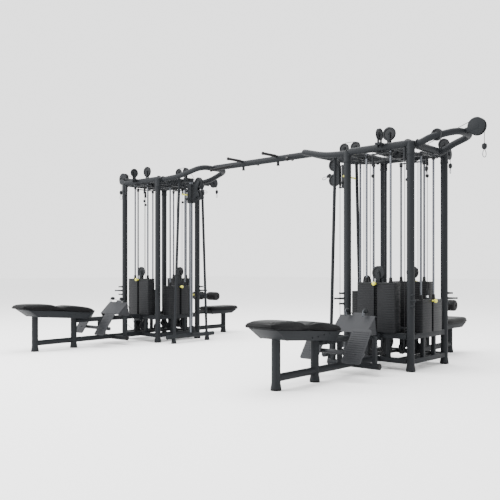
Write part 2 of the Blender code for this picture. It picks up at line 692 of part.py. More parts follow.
def build_crossover_beam():
    """Pull-up beam between two U-shaped loops that spring from the towers' inner posts."""
    start = HALF_WIDTH + RING_RADIUS + 5 * GAP
    nose_out = TOWER_X - BEAM_HALF
    pieces = [rod((-BEAM_HALF, MIDDLE, BEAM_UP), (BEAM_HALF, MIDDLE, BEAM_UP), BEAM_RADIUS)]
    for side in SIDES:
        path = []
        for way in (-1, 1):
            wide = way * (MIDDLE - ARM_INSET)
            half_path = [(start, wide, RING_UP), (start + FLANGE_RADIUS, wide, RING_UP),
                         (start + BRACE_REACH * 1.2, wide * 0.92, RING_UP + (LOOP_UP - RING_UP) * LOOP_SAG),
                         (nose_out, way * LOOP_NOSE_HALF, LOOP_UP)]
            points = [spot(side, -out, MIDDLE + back, up) for out, back, up in half_path]
            path += points if way < 0 else points[::-1]
            pieces.append(rod(spot(side, -start + GAP, MIDDLE + wide, RING_UP),
                              spot(side, -start - FLANGE_THICK, MIDDLE + wide, RING_UP), FLANGE_RADIUS))
        pieces.append(tube(path, ARM_RADIUS, bend=0.13))
        way = SIDES[side]
        grip_up = BEAM_UP + GRIP_LIFT
        pieces.append(rod((way * GRIP_X, MIDDLE - GRIP_HALF, grip_up),
                          (way * GRIP_X, MIDDLE + GRIP_HALF, grip_up), GRIP_RADIUS, sides=SMALL_SIDES))
        pieces.append(rod((way * GRIP_X, MIDDLE, BEAM_UP), (way * GRIP_X, MIDDLE, BEAM_UP - PEG_DROP),
                          PEG_RADIUS, sides=SMALL_SIDES))
        pieces.append(rod((way * WIDE_GRIP_START, MIDDLE, BEAM_UP),
                          (way * WIDE_GRIP_END, MIDDLE - WIDE_GRIP_FRONT, BEAM_UP - WIDE_GRIP_DROP),
                          GRIP_RADIUS, sides=SMALL_SIDES))
    node("crossover_beam", CHARCOAL, pieces)


def plan(side, outline, half):
    """Prism across a station, centred on its tower, from an outline of (back, up) points."""
    return prism(outline, -half, half, SIDES[side] * TOWER_X)


def slanted_panel(side, low, high, thick, inner, outer):
    """Flat panel between two (front distance, up) edges, from one out value to the other."""
    start, end = Vector((-low[0], low[1])), Vector((-high[0], high[1]))
    lift = Vector((start.y - end.y, end.x - start.x)).normalized() * thick
    if lift.x > 0:
        lift = -lift
    outline = [start, end, end - lift, start - lift]
    near, far = sorted((SIDES[side] * inner, SIDES[side] * outer))
    return prism([tuple(point) for point in outline], near, far, SIDES[side] * TOWER_X)


def sloped(up, front):
    """Height on the bench, which falls towards the tower, of a line given at the bench's far end."""
    return up - BENCH_SLOPE * (ROW_REACH - front)


def build_row_station(side):
    """Low bench on two legs with its rails, footplates, cable cover and pad."""
    tower_front = -BAR / 2 - GAP
    rail_up, beam_up = ROW_RAIL_UP, ROW_BEAM_UP
    pan = [(PAN_TOP_FAR, PAN_HIGH), (PAN_LOW_FAR, PAN_LOW),
           (PAN_LOW_NEAR, PAN_LOW), (PAN_TOP_NEAR, PAN_HIGH)]
    pieces = [plan(side, [(-front, sloped(up, front)) for front, up in pan], PAN_HALF)]
    for front in (ROW_LEG_FAR, ROW_LEG_NEAR):
        top = sloped(PAN_LOW, front) + POST_RADIUS / 2
        pieces.append(footed_post(spot(side, 0, -front, 0), top, POST_RADIUS, FOOT_RADIUS))
    pieces.append(rod(spot(side, 0, -ROW_LEG_FAR, rail_up), spot(side, 0, tower_front, rail_up),
                      ROW_RAIL_RADIUS))
    beam_end = -STACK_PROUD - GAP
    pieces.append(rod(spot(side, 0, -ROW_LEG_NEAR, beam_up), spot(side, 0, beam_end, beam_up), ROW_BEAM_RADIUS))
    plate_top = PLATFORM_UP - PLATFORM_THICK - GAP
    pieces.append(block(spot(side, -BAR, beam_end - FLANGE_THICK, UPPER_BAR_UP - BAR),
                        spot(side, BAR, tower_front, plate_top)))
    pieces.append(rod(spot(side, -TBAR_HALF, -TBAR_FRONT, TBAR_UP),
                      spot(side, TBAR_HALF, -TBAR_FRONT, TBAR_UP), ROW_RAIL_RADIUS * 0.9))
    for out in (-TBAR_UPRIGHT_OUT, TBAR_UPRIGHT_OUT):
        pieces.append(block(spot(side, out - STRUT / 2, -TBAR_FRONT - STRUT / 2, TBAR_UP),
                            spot(side, out + STRUT / 2, -TBAR_FRONT + STRUT / 2, TBAR_UPRIGHT_TOP)))
    reach = TBAR_UPRIGHT_OUT + STRUT / 3
    pieces.append(block(spot(side, -reach, -TBAR_FRONT - STRUT / 3, TBAR_UPRIGHT_TOP - STRUT),
                        spot(side, reach, -TBAR_FRONT + STRUT / 3, TBAR_UPRIGHT_TOP - STRUT / 4)))
    pieces.append(rod(spot(side, 0, -FOOT_STRUT_FRONT, rail_up),
                      spot(side, 0, -FOOT_STRUT_FRONT, beam_up), ROW_RAIL_RADIUS * 0.8))
    node(f"{side}_row_frame", CHARCOAL, pieces)

    bar_front = FOOT_STRUT_FRONT + ROW_RAIL_RADIUS * 0.8 + FOOT_BAR_RADIUS + GAP
    reach = FOOTPLATE_IN + FOOTPLATE_WIDE * 0.8
    pieces = [rod(spot(side, -reach, -bar_front, FOOT_BAR_UP),
                  spot(side, reach, -bar_front, FOOT_BAR_UP), FOOT_BAR_RADIUS)]
    for way in (-1, 1):
        inner, outer = way * FOOTPLATE_IN, way * (FOOTPLATE_IN + FOOTPLATE_WIDE)
        pieces.append(slanted_panel(side, FOOTPLATE_LOW, FOOTPLATE_HIGH, FOOTPLATE_THICK, inner, outer))
        middle = way * (FOOTPLATE_IN + FOOTPLATE_WIDE / 2)
        thin = FOOT_BAR_RADIUS * 0.7
        pieces.append(block(spot(side, middle - STRUT / 2, -bar_front, FOOT_BAR_UP - thin),
                            spot(side, middle + STRUT / 2, -FOOTPLATE_LOW[0] + 0.05, FOOT_BAR_UP + thin)))
    node(f"{side}_footplates", PANEL_GREY, pieces)

    cover = [slanted_panel(side, COVER_LOW, COVER_HIGH, COVER_THICK, -COVER_HALF, COVER_HALF)]
    wall_low = max(COVER_WALL_UP, TBAR_UPRIGHT_TOP + 2 * GAP)
    for way in (-1, 1):
        inner, outer = sorted((way * COVER_HALF * 0.93, way * COVER_HALF * 0.99))
        outline = [(-COVER_LOW[0] + 0.004, COVER_LOW[1]), (-COVER_HIGH[0], COVER_HIGH[1] - 0.004),
                   (-COVER_HIGH[0] + 0.03, wall_low), (-COVER_LOW[0] + 0.02, wall_low)]
        near, far = sorted((SIDES[side] * inner, SIDES[side] * outer))
        cover.append(prism(outline, near, far, SIDES[side] * TOWER_X))
    node(f"{side}_row_cover", PANEL_GREY, cover)

    build_row_pad(side)


def build_row_pad(side):
    """Long upholstered pad, waisted in the middle and turned up at both ends."""
    length = ROW_REACH - PAD_NEAR
    bm = bmesh.new()
    bmesh.ops.create_cube(bm, size=1.0)
    lengthwise = [edge for edge in bm.edges if abs(edge.verts[0].co.y - edge.verts[1].co.y) > 0.5]
    bmesh.ops.subdivide_edges(bm, edges=lengthwise, cuts=7, use_grid_fill=True)
    for vert in bm.verts:
        t = vert.co.y * 2
        waist = 1.0 - 0.16 * math.exp(-(t / 0.32) ** 2) - 0.22 * abs(t) ** 6
        x = SIDES[side] * TOWER_X + vert.co.x * 2 * PAD_HALF * waist
        y = -(ROW_REACH + PAD_NEAR) / 2 + vert.co.y * length
        low = sloped(PAN_HIGH, -y) + GAP
        crown = PAD_THICK - PAD_FALL * abs(t) ** 3 - PAD_DIMPLE * math.exp(-(t / 0.2) ** 2)
        vert.co = (x, y, low if vert.co.z < 0 else low + crown)
    pad = from_bmesh(bm)
    bevel = pad.modifiers.new("roll", "BEVEL")
    bevel.width = PAD_THICK * 0.25
    bevel.segments = 2
    bevel.limit_method = "ANGLE"
    bevel.angle_limit = math.radians(50)
    solid = blank(evaluated_mesh(pad))
    bpy.data.objects.remove(pad)
    node(f"{side}_row_pad", VINYL, [solid])


def build_lat_station(side):
    """Seat on a rail behind the tower, with thigh rollers that slide on their mast."""
    tower_back = DEPTH + BAR / 2 + GAP
    leg = DEPTH + LAT_LEG_BACK
    mast = DEPTH + LAT_MAST_BACK
    far = DEPTH + LAT_REACH
    near = DEPTH + LAT_SEAT_NEAR
    pan = [(near + 0.02, LAT_PAN_HIGH), (near + 0.05, LAT_PAN_LOW), (far - 0.17, LAT_PAN_LOW),
           (far - 0.05, LAT_PAN_HIGH)]
    pieces = [plan(side, pan, LAT_PAN_HALF)]
    pieces.append(footed_post(spot(side, 0, leg, 0), LAT_PAN_LOW + STRUT / 4, POST_RADIUS, FOOT_RADIUS))
    pieces.append(rod(spot(side, 0, tower_back, ROW_RAIL_UP), spot(side, 0, leg, ROW_RAIL_UP),
                      ROW_RAIL_RADIUS))
    pieces.append(rod(spot(side, 0, mast, ROW_RAIL_UP), spot(side, 0, mast, LAT_MAST_TOP),
                      LAT_MAST_RADIUS))
    pieces.append(block(spot(side, -STRUT / 2, mast, LAT_PAN_LOW + STRUT / 6),
                        spot(side, STRUT / 2, near + STRUT * 3, LAT_PAN_LOW + STRUT)))
    node(f"{side}_lat_frame", CHARCOAL, pieces)

    bm = bmesh.new()
    bmesh.ops.create_cube(bm, size=1.0)
    lengthwise = [edge for edge in bm.edges if abs(edge.verts[0].co.y - edge.verts[1].co.y) > 0.5]
    bmesh.ops.subdivide_edges(bm, edges=lengthwise, cuts=5, use_grid_fill=True)
    low = LAT_PAN_HIGH + GAP
    for vert in bm.verts:
        t = vert.co.y * 2
        narrow = 1.0 - 0.20 * abs(t) ** 5
        x = SIDES[side] * TOWER_X + vert.co.x * 2 * LAT_SEAT_HALF * narrow
        y = (far + near) / 2 + vert.co.y * (far - near)
        vert.co = (x, y, low if vert.co.z < 0 else LAT_SEAT_TOP)
    seat = from_bmesh(bm)
    bevel = seat.modifiers.new("roll", "BEVEL")
    bevel.width = (LAT_SEAT_TOP - low) * 0.28
    bevel.segments = 2
    bevel.limit_method = "ANGLE"
    bevel.angle_limit = math.radians(50)
    solid = blank(evaluated_mesh(seat))
    bpy.data.objects.remove(seat)
    node(f"{side}_lat_seat", VINYL, [solid])

    centre = spot(side, 0, mast, ROLLER_UP)
    half = Vector((ROLLER_SLEEVE, ROLLER_SLEEVE, ROLLER_SLEEVE_TALL / 2))
    beyond = Vector((0, 0, ROLLER_SLEEVE_TALL))
    bore = rod(centre - beyond, centre + beyond, ROLLER_SLEEVE_BORE)
    sleeve = combine(block(centre - half, centre + half), [bore], "DIFFERENCE")
    rollers = DEPTH + ROLLER_BACK
    arm = block(spot(side, -STRUT / 2, mast + ROLLER_SLEEVE * 0.9, ROLLER_UP - STRUT / 2),
                spot(side, STRUT / 2, rollers, ROLLER_UP + STRUT / 2))
    axle = rod(spot(side, -ROLLER_OUT + 0.01, rollers, ROLLER_UP),
               spot(side, ROLLER_OUT - 0.01, rollers, ROLLER_UP), ROLLER_AXLE_RADIUS, sides=SMALL_SIDES)
    pieces = [sleeve, arm, axle]
    for way in (-1, 1):
        pieces.append(rod(spot(side, way * ROLLER_IN, rollers, ROLLER_UP),
                          spot(side, way * ROLLER_OUT, rollers, ROLLER_UP), ROLLER_RADIUS))
    node(f"{side}_thigh_rollers", VINYL, pieces, origin=centre)


def build_machine():
    clear_scene()
    new_collection("cable_machine")
    new_collection("cutters")
    for side in SIDES:
        build_posts(side)
        build_base_frame(side)
        build_top_frame(side)
        build_stacks(side)
        build_guide_rods(side)
        build_crossover_station(side)
        build_end_arm(side)
        build_lat_arm(side)
        build_row_station(side)
        build_lat_station(side)
    build_crossover_beam()


build_machine()
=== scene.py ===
import math

import bmesh
import bpy
import numpy as np
from mathutils import Matrix, Vector


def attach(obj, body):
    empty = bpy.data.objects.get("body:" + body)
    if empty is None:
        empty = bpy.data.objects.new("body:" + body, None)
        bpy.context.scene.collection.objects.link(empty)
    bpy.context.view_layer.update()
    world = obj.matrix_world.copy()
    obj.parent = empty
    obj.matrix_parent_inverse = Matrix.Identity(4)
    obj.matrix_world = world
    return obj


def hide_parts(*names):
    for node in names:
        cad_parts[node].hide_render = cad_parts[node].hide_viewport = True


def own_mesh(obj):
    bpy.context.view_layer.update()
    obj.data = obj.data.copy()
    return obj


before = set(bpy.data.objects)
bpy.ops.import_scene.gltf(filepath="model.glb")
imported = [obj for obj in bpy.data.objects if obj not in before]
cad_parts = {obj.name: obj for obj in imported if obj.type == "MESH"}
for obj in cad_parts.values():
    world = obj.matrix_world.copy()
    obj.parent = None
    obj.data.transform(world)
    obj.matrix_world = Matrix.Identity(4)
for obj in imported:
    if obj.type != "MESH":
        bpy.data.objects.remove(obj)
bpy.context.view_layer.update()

# The room: a pale seamless floor under broad soft lights, as in a catalogue studio. The camera stands
# low in front of the right-hand tower and looks along the machine towards the left-hand one.
scene = bpy.context.scene
camera = bpy.data.objects.new("camera", bpy.data.cameras.new("camera"))
camera.location = (5.340, -5.814, 1.0104)
camera.rotation_euler = (math.pi / 2, 0.0, math.atan2(0.6654, 0.7465))
camera.data.lens = 46.62
camera.data.sensor_width = 36.0
camera.data.shift_y = 0.0383
camera.data.clip_end = 300.0
scene.collection.objects.link(camera)
scene.camera = camera

world = bpy.data.worlds.new("studio")
world.use_nodes = True
world.node_tree.nodes["Background"].inputs["Color"].default_value = (1.0, 1.0, 1.0, 1.0)
world.node_tree.nodes["Background"].inputs["Strength"].default_value = 2.3
scene.world = world

for name, place, size, power in (("key", (-5.5, -8.0, 6.5), 5.0, 1500.0),
                                 ("front", (1.0, -9.5, 2.6), 4.0, 240.0),
                                 ("overhead", (0.0, 0.4, 7.5), 7.0, 900.0)):
    lamp = bpy.data.lights.new(name, "AREA")
    lamp.size = size
    lamp.energy = power
    light = bpy.data.objects.new(name, lamp)
    light.location = place
    light.rotation_euler = (Vector((0.6, 0.3, 1.1)) - Vector(place)).to_track_quat("-Z", "Y").to_euler()
    scene.collection.objects.link(light)

floor_mesh = bpy.data.meshes.new("floor")
floor_mesh.from_pydata([(-60, -60, 0), (60, -60, 0), (60, 60, 0), (-60, 60, 0)], [], [(0, 1, 2, 3)])
floor = bpy.data.objects.new("floor", floor_mesh)
scene.collection.objects.link(floor)
paper = bpy.data.materials.new("seamless paper")
paper.use_nodes = True
paper.node_tree.nodes["Principled BSDF"].inputs["Base Color"].default_value = (0.93, 0.93, 0.93, 1.0)
paper.node_tree.nodes["Principled BSDF"].inputs["Roughness"].default_value = 0.9
paper.node_tree.nodes["Principled BSDF"].inputs["Specular IOR Level"].default_value = 0.1
floor_mesh.materials.append(paper)

# Corner posts: 76 mm steel tube, flared at the foot over a black rubber shoe and powder coated. Three
# tapered pegs are welded to each post and point away from the tower, to hang grips and bars on.
SIDES = {"left": -1, "right": 1}
TOWER_X = 1.911
HALF_WIDTH = 0.367
DEPTH = 0.748
MIDDLE = DEPTH / 2
POST_RADIUS = 0.038
POST_TOP = 2.14
SHOE_RADIUS = 0.0465


def spot(side, out, back, up):
    return Vector((SIDES[side] * (TOWER_X + out), back, up))


def aimed(start, end):
    """Matrix that carries local Z onto the line from start to end."""
    start, end = Vector(start), Vector(end)
    return Matrix.Translation(start) @ (end - start).to_track_quat("Z", "Y").to_matrix().to_4x4()


def lathe(bm, profile, place=Matrix(), sides=40):
    """Closed solid of revolution about local Z; the profile of (radius, height) starts and ends at 0."""
    rings = []
    for radius, height in profile:
        if radius < 1e-6:
            rings.append([bm.verts.new(place @ Vector((0.0, 0.0, height)))])
            continue
        turn = [2 * math.pi * k / sides for k in range(sides)]
        rings.append([bm.verts.new(place @ Vector((radius * math.cos(a), radius * math.sin(a), height)))
                      for a in turn])
    for low, high in zip(rings, rings[1:]):
        for k in range(sides):
            near, far = k % len(low), (k + 1) % len(low)
            up_near, up_far = k % len(high), (k + 1) % len(high)
            corners = [low[near], low[far], high[up_far], high[up_near]]
            unique = list(dict.fromkeys(corners))
            if len(unique) > 2:
                bm.faces.new(unique)


def bar(bm, start, end, radius, edge=0.0012, sides=40):
    """Round bar between two points with a small chamfer at both ends."""
    length = (Vector(end) - Vector(start)).length
    lathe(bm, [(0, 0), (radius - edge, 0), (radius, edge), (radius, length - edge), (radius - edge, length),
               (0, length)], aimed(start, end), sides)


def curved(points, bend, steps=12, closed=False):
    """Path with each corner replaced by a smooth curve that starts one bend length from it."""
    points = [Vector(point) for point in points]
    path = []
    for index, corner in enumerate(points):
        if not closed and index in (0, len(points) - 1):
            path.append(corner)
            continue
        before, after = points[index - 1] - corner, points[(index + 1) % len(points)] - corner
        reach = min(bend, before.length * 0.45, after.length * 0.45)
        enter, leave = corner + before.normalized() * reach, corner + after.normalized() * reach
        for step in range(steps + 1):
            t = step / steps
            path.append(enter * (1 - t) ** 2 + corner * 2 * t * (1 - t) + leave * t ** 2)
    return path


def pipe(bm, path, radius, sides=32, closed=False):
    """Round tube swept along a path without twist, with capped ends; radius may be a list."""
    count = len(path)
    radii = radius if isinstance(radius, (list, tuple)) else [radius] * count
    tangents = []
    for index in range(count):
        ahead = path[(index + 1) % count] if closed or index < count - 1 else path[index]
        behind = path[index - 1] if closed or index else path[index]
        tangents.append((ahead - behind).normalized())
    across = tangents[0].orthogonal().normalized()
    rings = []
    for index, (centre, tangent) in enumerate(zip(path, tangents)):
        if index:
            across = tangents[index - 1].rotation_difference(tangent) @ across
        across = (across - tangent * across.dot(tangent)).normalized()
        other = tangent.cross(across)
        turn = [2 * math.pi * k / sides for k in range(sides)]
        rings.append([bm.verts.new(centre + (across * math.cos(a) + other * math.sin(a)) * radii[index])
                      for a in turn])
    pairs = list(zip(rings, rings[1:]))
    if closed:
        last = rings[-1]
        slip = min(range(sides), key=lambda k: (last[k].co - rings[0][0].co).length)
        pairs.append((last[slip:] + last[:slip], rings[0]))
    for one, two in pairs:
        for k in range(sides):
            bm.faces.new((one[k], one[(k + 1) % sides], two[(k + 1) % sides], two[k]))
    if not closed:
        bm.faces.new(rings[0][::-1])
        bm.faces.new(rings[-1])


def wire(tree, *rows):
    """Links one node's output to another's input for each row of four."""
    for source, output, target, entry in rows:
        tree.links.new(source.outputs[output], target.inputs[entry])


def grain_group():
    """Fine surface grain with a slow drift of tone and gloss, shared by every coat in the machine."""
    group = bpy.data.node_groups.new("fine grain", "ShaderNodeTree")
    faces = group.interface
    for label, default in (("Colour", (0.5, 0.5, 0.5, 1)), ("Tone", 0.2), ("Roughness", 0.5),
                           ("Gloss Drift", 0.1), ("Grain Size", 500.0), ("Grain Depth", 0.1)):
        kind = "NodeSocketColor" if label == "Colour" else "NodeSocketFloat"
        faces.new_socket(name=label, in_out="INPUT", socket_type=kind).default_value = default
    for label, kind in (("Colour", "NodeSocketColor"), ("Roughness", "NodeSocketFloat"),
                        ("Normal", "NodeSocketVector")):
        faces.new_socket(name=label, in_out="OUTPUT", socket_type=kind)
    nodes = group.nodes
    given, result = nodes.new("NodeGroupInput"), nodes.new("NodeGroupOutput")
    place = nodes.new("ShaderNodeTexCoord")
    slow, fine = nodes.new("ShaderNodeTexNoise"), nodes.new("ShaderNodeTexNoise")
    slow.inputs["Scale"].default_value = 7.0
    slow.inputs["Detail"].default_value = 4.0
    fine.inputs["Detail"].default_value = 2.0
    drift, tone, gloss = [nodes.new("ShaderNodeMath") for _ in range(3)]
    drift.operation = "SUBTRACT"
    drift.inputs[1].default_value = 0.5
    tone.operation = gloss.operation = "MULTIPLY_ADD"
    tone.inputs[2].default_value = 1.0
    tint = nodes.new("ShaderNodeVectorMath")
    tint.operation = "SCALE"
    relief = nodes.new("ShaderNodeBump")
    relief.inputs["Distance"].default_value = 0.001
    wire(group, (place, "Object", slow, "Vector"), (place, "Object", fine, "Vector"),
         (given, "Grain Size", fine, "Scale"), (slow, "Fac", drift, 0), (drift, 0, tone, 0),
         (given, "Tone", tone, 1), (given, "Colour", tint, 0), (tone, 0, tint, "Scale"),
         (tint, "Vector", result, "Colour"), (drift, 0, gloss, 0), (given, "Gloss Drift", gloss, 1),
         (given, "Roughness", gloss, 2), (gloss, 0, result, "Roughness"),
         (given, "Grain Depth", relief, "Strength"), (fine, "Fac", relief, "Height"),
         (relief, "Normal", result, "Normal"))
    return group


fine_grain = grain_group()


def coated(name, colour, roughness, metallic=0.0, tone=0.25, drift=0.12, size=420.0, depth=0.12, coat=0.0,
           shine=0.13):
    """Material of one finish: a Principled surface whose colour, gloss and relief come from the grain."""
    material = bpy.data.materials.new(name)
    material.use_nodes = True
    nodes = material.node_tree.nodes
    surface = nodes["Principled BSDF"]
    surface.inputs["Metallic"].default_value = metallic
    surface.inputs["Coat Weight"].default_value = coat
    surface.inputs["Specular IOR Level"].default_value = shine
    grain = nodes.new("ShaderNodeGroup")
    grain.node_tree = fine_grain
    for label, value in (("Colour", (*colour, 1.0)), ("Tone", tone), ("Roughness", roughness),
                         ("Gloss Drift", drift), ("Grain Size", size), ("Grain Depth", depth)):
        grain.inputs[label].default_value = value
    wire(material.node_tree, (grain, "Colour", surface, "Base Color"),
         (grain, "Roughness", surface, "Roughness"), (grain, "Normal", surface, "Normal"))
    return material


def finished(name, shape, material, body, stands_for=(), sharp=34.0):
    """Turns a bmesh, or takes a mesh, into a piece that rides on a body and may replace CAD nodes."""
    if isinstance(shape, bmesh.types.BMesh):
        bmesh.ops.remove_doubles(shape, verts=shape.verts, dist=2e-6)
        bmesh.ops.recalc_face_normals(shape, faces=shape.faces)
        mesh = bpy.data.meshes.new(name)
        shape.to_mesh(mesh)
        shape.free()
    else:
        mesh = shape
    mesh.shade_smooth()
    mesh.set_sharp_from_angle(angle=math.radians(sharp))
    mesh.materials.clear()
    mesh.materials.append(material)
    piece = bpy.data.objects.new(name, mesh)
    scene.collection.objects.link(piece)
    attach(piece, body)
    if stands_for:
        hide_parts(*stands_for)
    return piece


def leg(bm, shoe, foot, top):
    """Round leg that flares over a rubber shoe."""
    stand = Matrix.Translation(foot)
    lathe(shoe, [(0, 0), (SHOE_RADIUS - 0.001, 0), (SHOE_RADIUS, 0.002), (SHOE_RADIUS, 0.013),
                 (SHOE_RADIUS - 0.002, 0.0145), (0, 0.0145)], stand)
    lathe(bm, [(0, 0.0147), (SHOE_RADIUS - 0.001, 0.0147), (SHOE_RADIUS - 0.001, 0.021), (0.0425, 0.040),
               (0.0390, 0.058), (POST_RADIUS, 0.075), (POST_RADIUS, top), (0, top)], stand)


charcoal = coated("charcoal powder coat", (0.0085, 0.0097, 0.0113), 0.60, size=380.0, depth=0.02)
rubber = coated("black rubber", (0.006, 0.006, 0.0065), 0.62, size=900.0, depth=0.20)

for side in SIDES:
    shoes = bmesh.new()
    for row, back in (("front", 0.0), ("back", DEPTH)):
        for column, out in (("inner", -HALF_WIDTH), ("outer", HALF_WIDTH)):
            foot = spot(side, out, back, 0.0)
            post = bmesh.new()
            leg(post, shoes, foot, POST_TOP)
            outward = Vector((math.copysign(1, foot.x - SIDES[side] * TOWER_X),
                              math.copysign(1, back - MIDDLE), 0)).normalized()
            for level, length in ((-1, 0.092), (0, 0.145), (1, 0.092)):
                root = foot + Vector((0, 0, 0.70 + level * 0.055))
                lathe(post, [(0, 0.030), (0.014, 0.030), (0.0150, POST_RADIUS + 0.002),
                             (0.0120, POST_RADIUS + 0.006), (0.0085, length - 0.012),
                             (0.0120, length - 0.007), (0.0110, length - 0.001), (0, length)],
                      aimed(root, root + outward * length), 16)
            finished(f"{side}_{row}_{column}_post_tube", post, charcoal, "frame",
                     [f"{side}_{row}_{column}_post"])
    finished(f"{side}_post_shoes", shoes, rubber, "frame")

# Base frame: two rings of square tube tied by short uprights, under a folded sheet platform with an
# open well for the cables. Low nylon pulleys hang inside it and turn the cables back upwards.
LOWER_BAR_UP = 0.098
UPPER_BAR_UP = 0.340
BAR = 0.050
STRUT = 0.040
PLATFORM_UP = 0.372
PLATFORM_LIP = 0.030
PLATFORM_CORNER = 0.060


def merged(bm, temporary, place):
    """Adds a temporary bmesh, carried to its place, to another one."""
    bmesh.ops.transform(temporary, matrix=place, verts=temporary.verts)
    mesh = bpy.data.meshes.new("part")
    temporary.to_mesh(mesh)
    temporary.free()
    bm.from_mesh(mesh)
    bpy.data.meshes.remove(mesh)


def slab(bm, corner, opposite, edge=0.003, place=Matrix(), segments=2):
    """Box between two corners with rounded edges."""
    temporary = bmesh.new()
    bmesh.ops.create_cube(temporary, size=1.0)
    low = Vector([min(a, b) for a, b in zip(corner, opposite)])
    high = Vector([max(a, b) for a, b in zip(corner, opposite)])
    bmesh.ops.scale(temporary, vec=high - low, verts=temporary.verts)
    bmesh.ops.translate(temporary, vec=(low + high) / 2, verts=temporary.verts)
    if edge:
        bmesh.ops.bevel(temporary, geom=temporary.edges[:], offset=edge, segments=segments, profile=0.5,
                        affect="EDGES")
    merged(bm, temporary, place)


def plate(bm, outline, low, high, place=Matrix(), edge=0.0015):
    """Sheet cut to an outline of (x, y) points in local coordinates, low to high along local Z."""
    temporary = bmesh.new()
    face = temporary.faces.new([temporary.verts.new((x, y, low)) for x, y in outline])
    grown = bmesh.ops.extrude_face_region(temporary, geom=[face])
    risen = [item for item in grown["geom"] if isinstance(item, bmesh.types.BMVert)]
    bmesh.ops.translate(temporary, vec=(0, 0, high - low), verts=risen)
    bmesh.ops.recalc_face_normals(temporary, faces=temporary.faces)
    if edge:
        rims = [e for e in temporary.edges if abs(e.verts[0].co.z - e.verts[1].co.z) < 1e-7]
        bmesh.ops.bevel(temporary, geom=rims, offset=edge, segments=2, profile=0.5, affect="EDGES")
    merged(bm, temporary, place)


def wheel(bm, centre, axis, radius, width, sides=48):
    """Moulded pulley with a cable groove, a dished web and a raised hub."""
    half = width / 2
    face = [(0.20 * radius, half * 0.92), (0.24 * radius, half * 0.92), (0.30 * radius, half * 0.45),
            (0.70 * radius, half * 0.45), (0.76 * radius, half * 0.95), (0.96 * radius, half)]
    rim = [(radius, half - 0.0015), (radius, half * 0.70), (0.87 * radius, half * 0.14)]
    upper = [(0.0, half * 0.92)] + face + rim
    profile = [(r, -h) for r, h in upper] + [(r, h) for r, h in upper[::-1]]
    axis = Vector(axis).normalized()
    lathe(bm, profile, aimed(centre, Vector(centre) + axis), sides)


def straps(bm, hub, axis, wide, thick, below, above, edge, axle, axle_radius):
    """Two upright straps beside a pulley, and the axle through both."""
    lean, other = Vector(axis), Vector((axis[1], axis[0], 0))
    for way in (-1, 1):
        skin = hub + lean * way * 0.0165
        slab(bm, skin - other * wide - lean * thick + Vector((0, 0, below)),
             skin + other * wide + lean * thick + Vector((0, 0, above)), edge)
    bar(bm, hub - lean * axle, hub + lean * axle, axle_radius, sides=12)


nylon = coated("pulley nylon", (0.0085, 0.0095, 0.0108), 0.46, size=700.0, depth=0.03)
steel = coated("zinc plated steel", (0.50, 0.51, 0.53), 0.30, 1.0, tone=0.15, drift=0.2, size=260.0,
               depth=0.05, shine=0.5)

for side in SIDES:
    base = bmesh.new()
    half = BAR / 2
    across = HALF_WIDTH - POST_RADIUS + 0.001
    front, back = POST_RADIUS - 0.001, DEPTH - POST_RADIUS + 0.001
    for up in (LOWER_BAR_UP, UPPER_BAR_UP):
        for line in (0.0, DEPTH):
            slab(base, spot(side, -across, line - half, up - half),
                 spot(side, across, line + half, up + half), 0.005)
        for line in (-HALF_WIDTH, HALF_WIDTH):
            slab(base, spot(side, line - half, front, up - half), spot(side, line + half, back, up + half),
                 0.005)
    for step in (-0.12, 0.12):
        for line in (0.0, DEPTH):
            slab(base, spot(side, step - STRUT / 2, line - STRUT / 2, LOWER_BAR_UP),
                 spot(side, step + STRUT / 2, line + STRUT / 2, UPPER_BAR_UP), 0.004)
        for line in (-HALF_WIDTH, HALF_WIDTH):
            slab(base, spot(side, line - STRUT / 2, MIDDLE + step - STRUT / 2, LOWER_BAR_UP),
                 spot(side, line + STRUT / 2, MIDDLE + step + STRUT / 2, UPPER_BAR_UP), 0.004)
    wide, narrow = HALF_WIDTH + PLATFORM_LIP, HALF_WIDTH - PLATFORM_CORNER
    low, high = PLATFORM_UP - 0.012, PLATFORM_UP
    well = 0.15
    for corner, opposite in (((-narrow, -PLATFORM_LIP), (narrow, MIDDLE - well)),
                             ((-narrow, MIDDLE + well), (narrow, DEPTH + PLATFORM_LIP)),
                             ((-wide, PLATFORM_CORNER), (-well, DEPTH - PLATFORM_CORNER)),
                             ((well, PLATFORM_CORNER), (wide, DEPTH - PLATFORM_CORNER))):
        slab(base, spot(side, *corner, low), spot(side, *opposite, high), 0.0015)
    for out in (-0.20, 0.20):
        slab(base, spot(side, out - 0.02, 0.02, LOWER_BAR_UP - 0.020),
             spot(side, out + 0.02, DEPTH - 0.02, LOWER_BAR_UP + 0.016), 0.004)
    finished(f"{side}_base_tubes", base, charcoal, "frame", [f"{side}_base_frame"])

    low_wheels = bmesh.new()
    brackets = bmesh.new()
    for out, back_line, axis in ((-0.20, 0.13, (1, 0, 0)), (0.20, 0.13, (1, 0, 0)),
                                 (-0.20, 0.60, (1, 0, 0)), (0.20, 0.60, (1, 0, 0)),
                                 (0.055, 0.08, (0, 1, 0)), (-0.055, 0.66, (0, 1, 0)),
                                 (0.27, 0.30, (0, 1, 0)), (-0.27, 0.30, (0, 1, 0))):
        hub = spot(side, out, back_line, 0.205)
        wheel(low_wheels, hub, axis, 0.058, 0.024, 32)
        straps(brackets, hub, axis, 0.018, 0.0025, -0.02, UPPER_BAR_UP - 0.18, 0.0015, 0.024, 0.008)
    finished(f"{side}_low_pulleys", low_wheels, nylon, "frame")
    finished(f"{side}_low_pulley_brackets", brackets, charcoal, "frame")

# Top ring: bent 76 mm tube over the four posts, welded to sockets that slip over the post tops, with two
# cross tubes for the guide pulleys and a short arm out over the crossover column.
RING_UP = 2.25
RING_RADIUS = 0.038
BRACE_REACH = 0.264

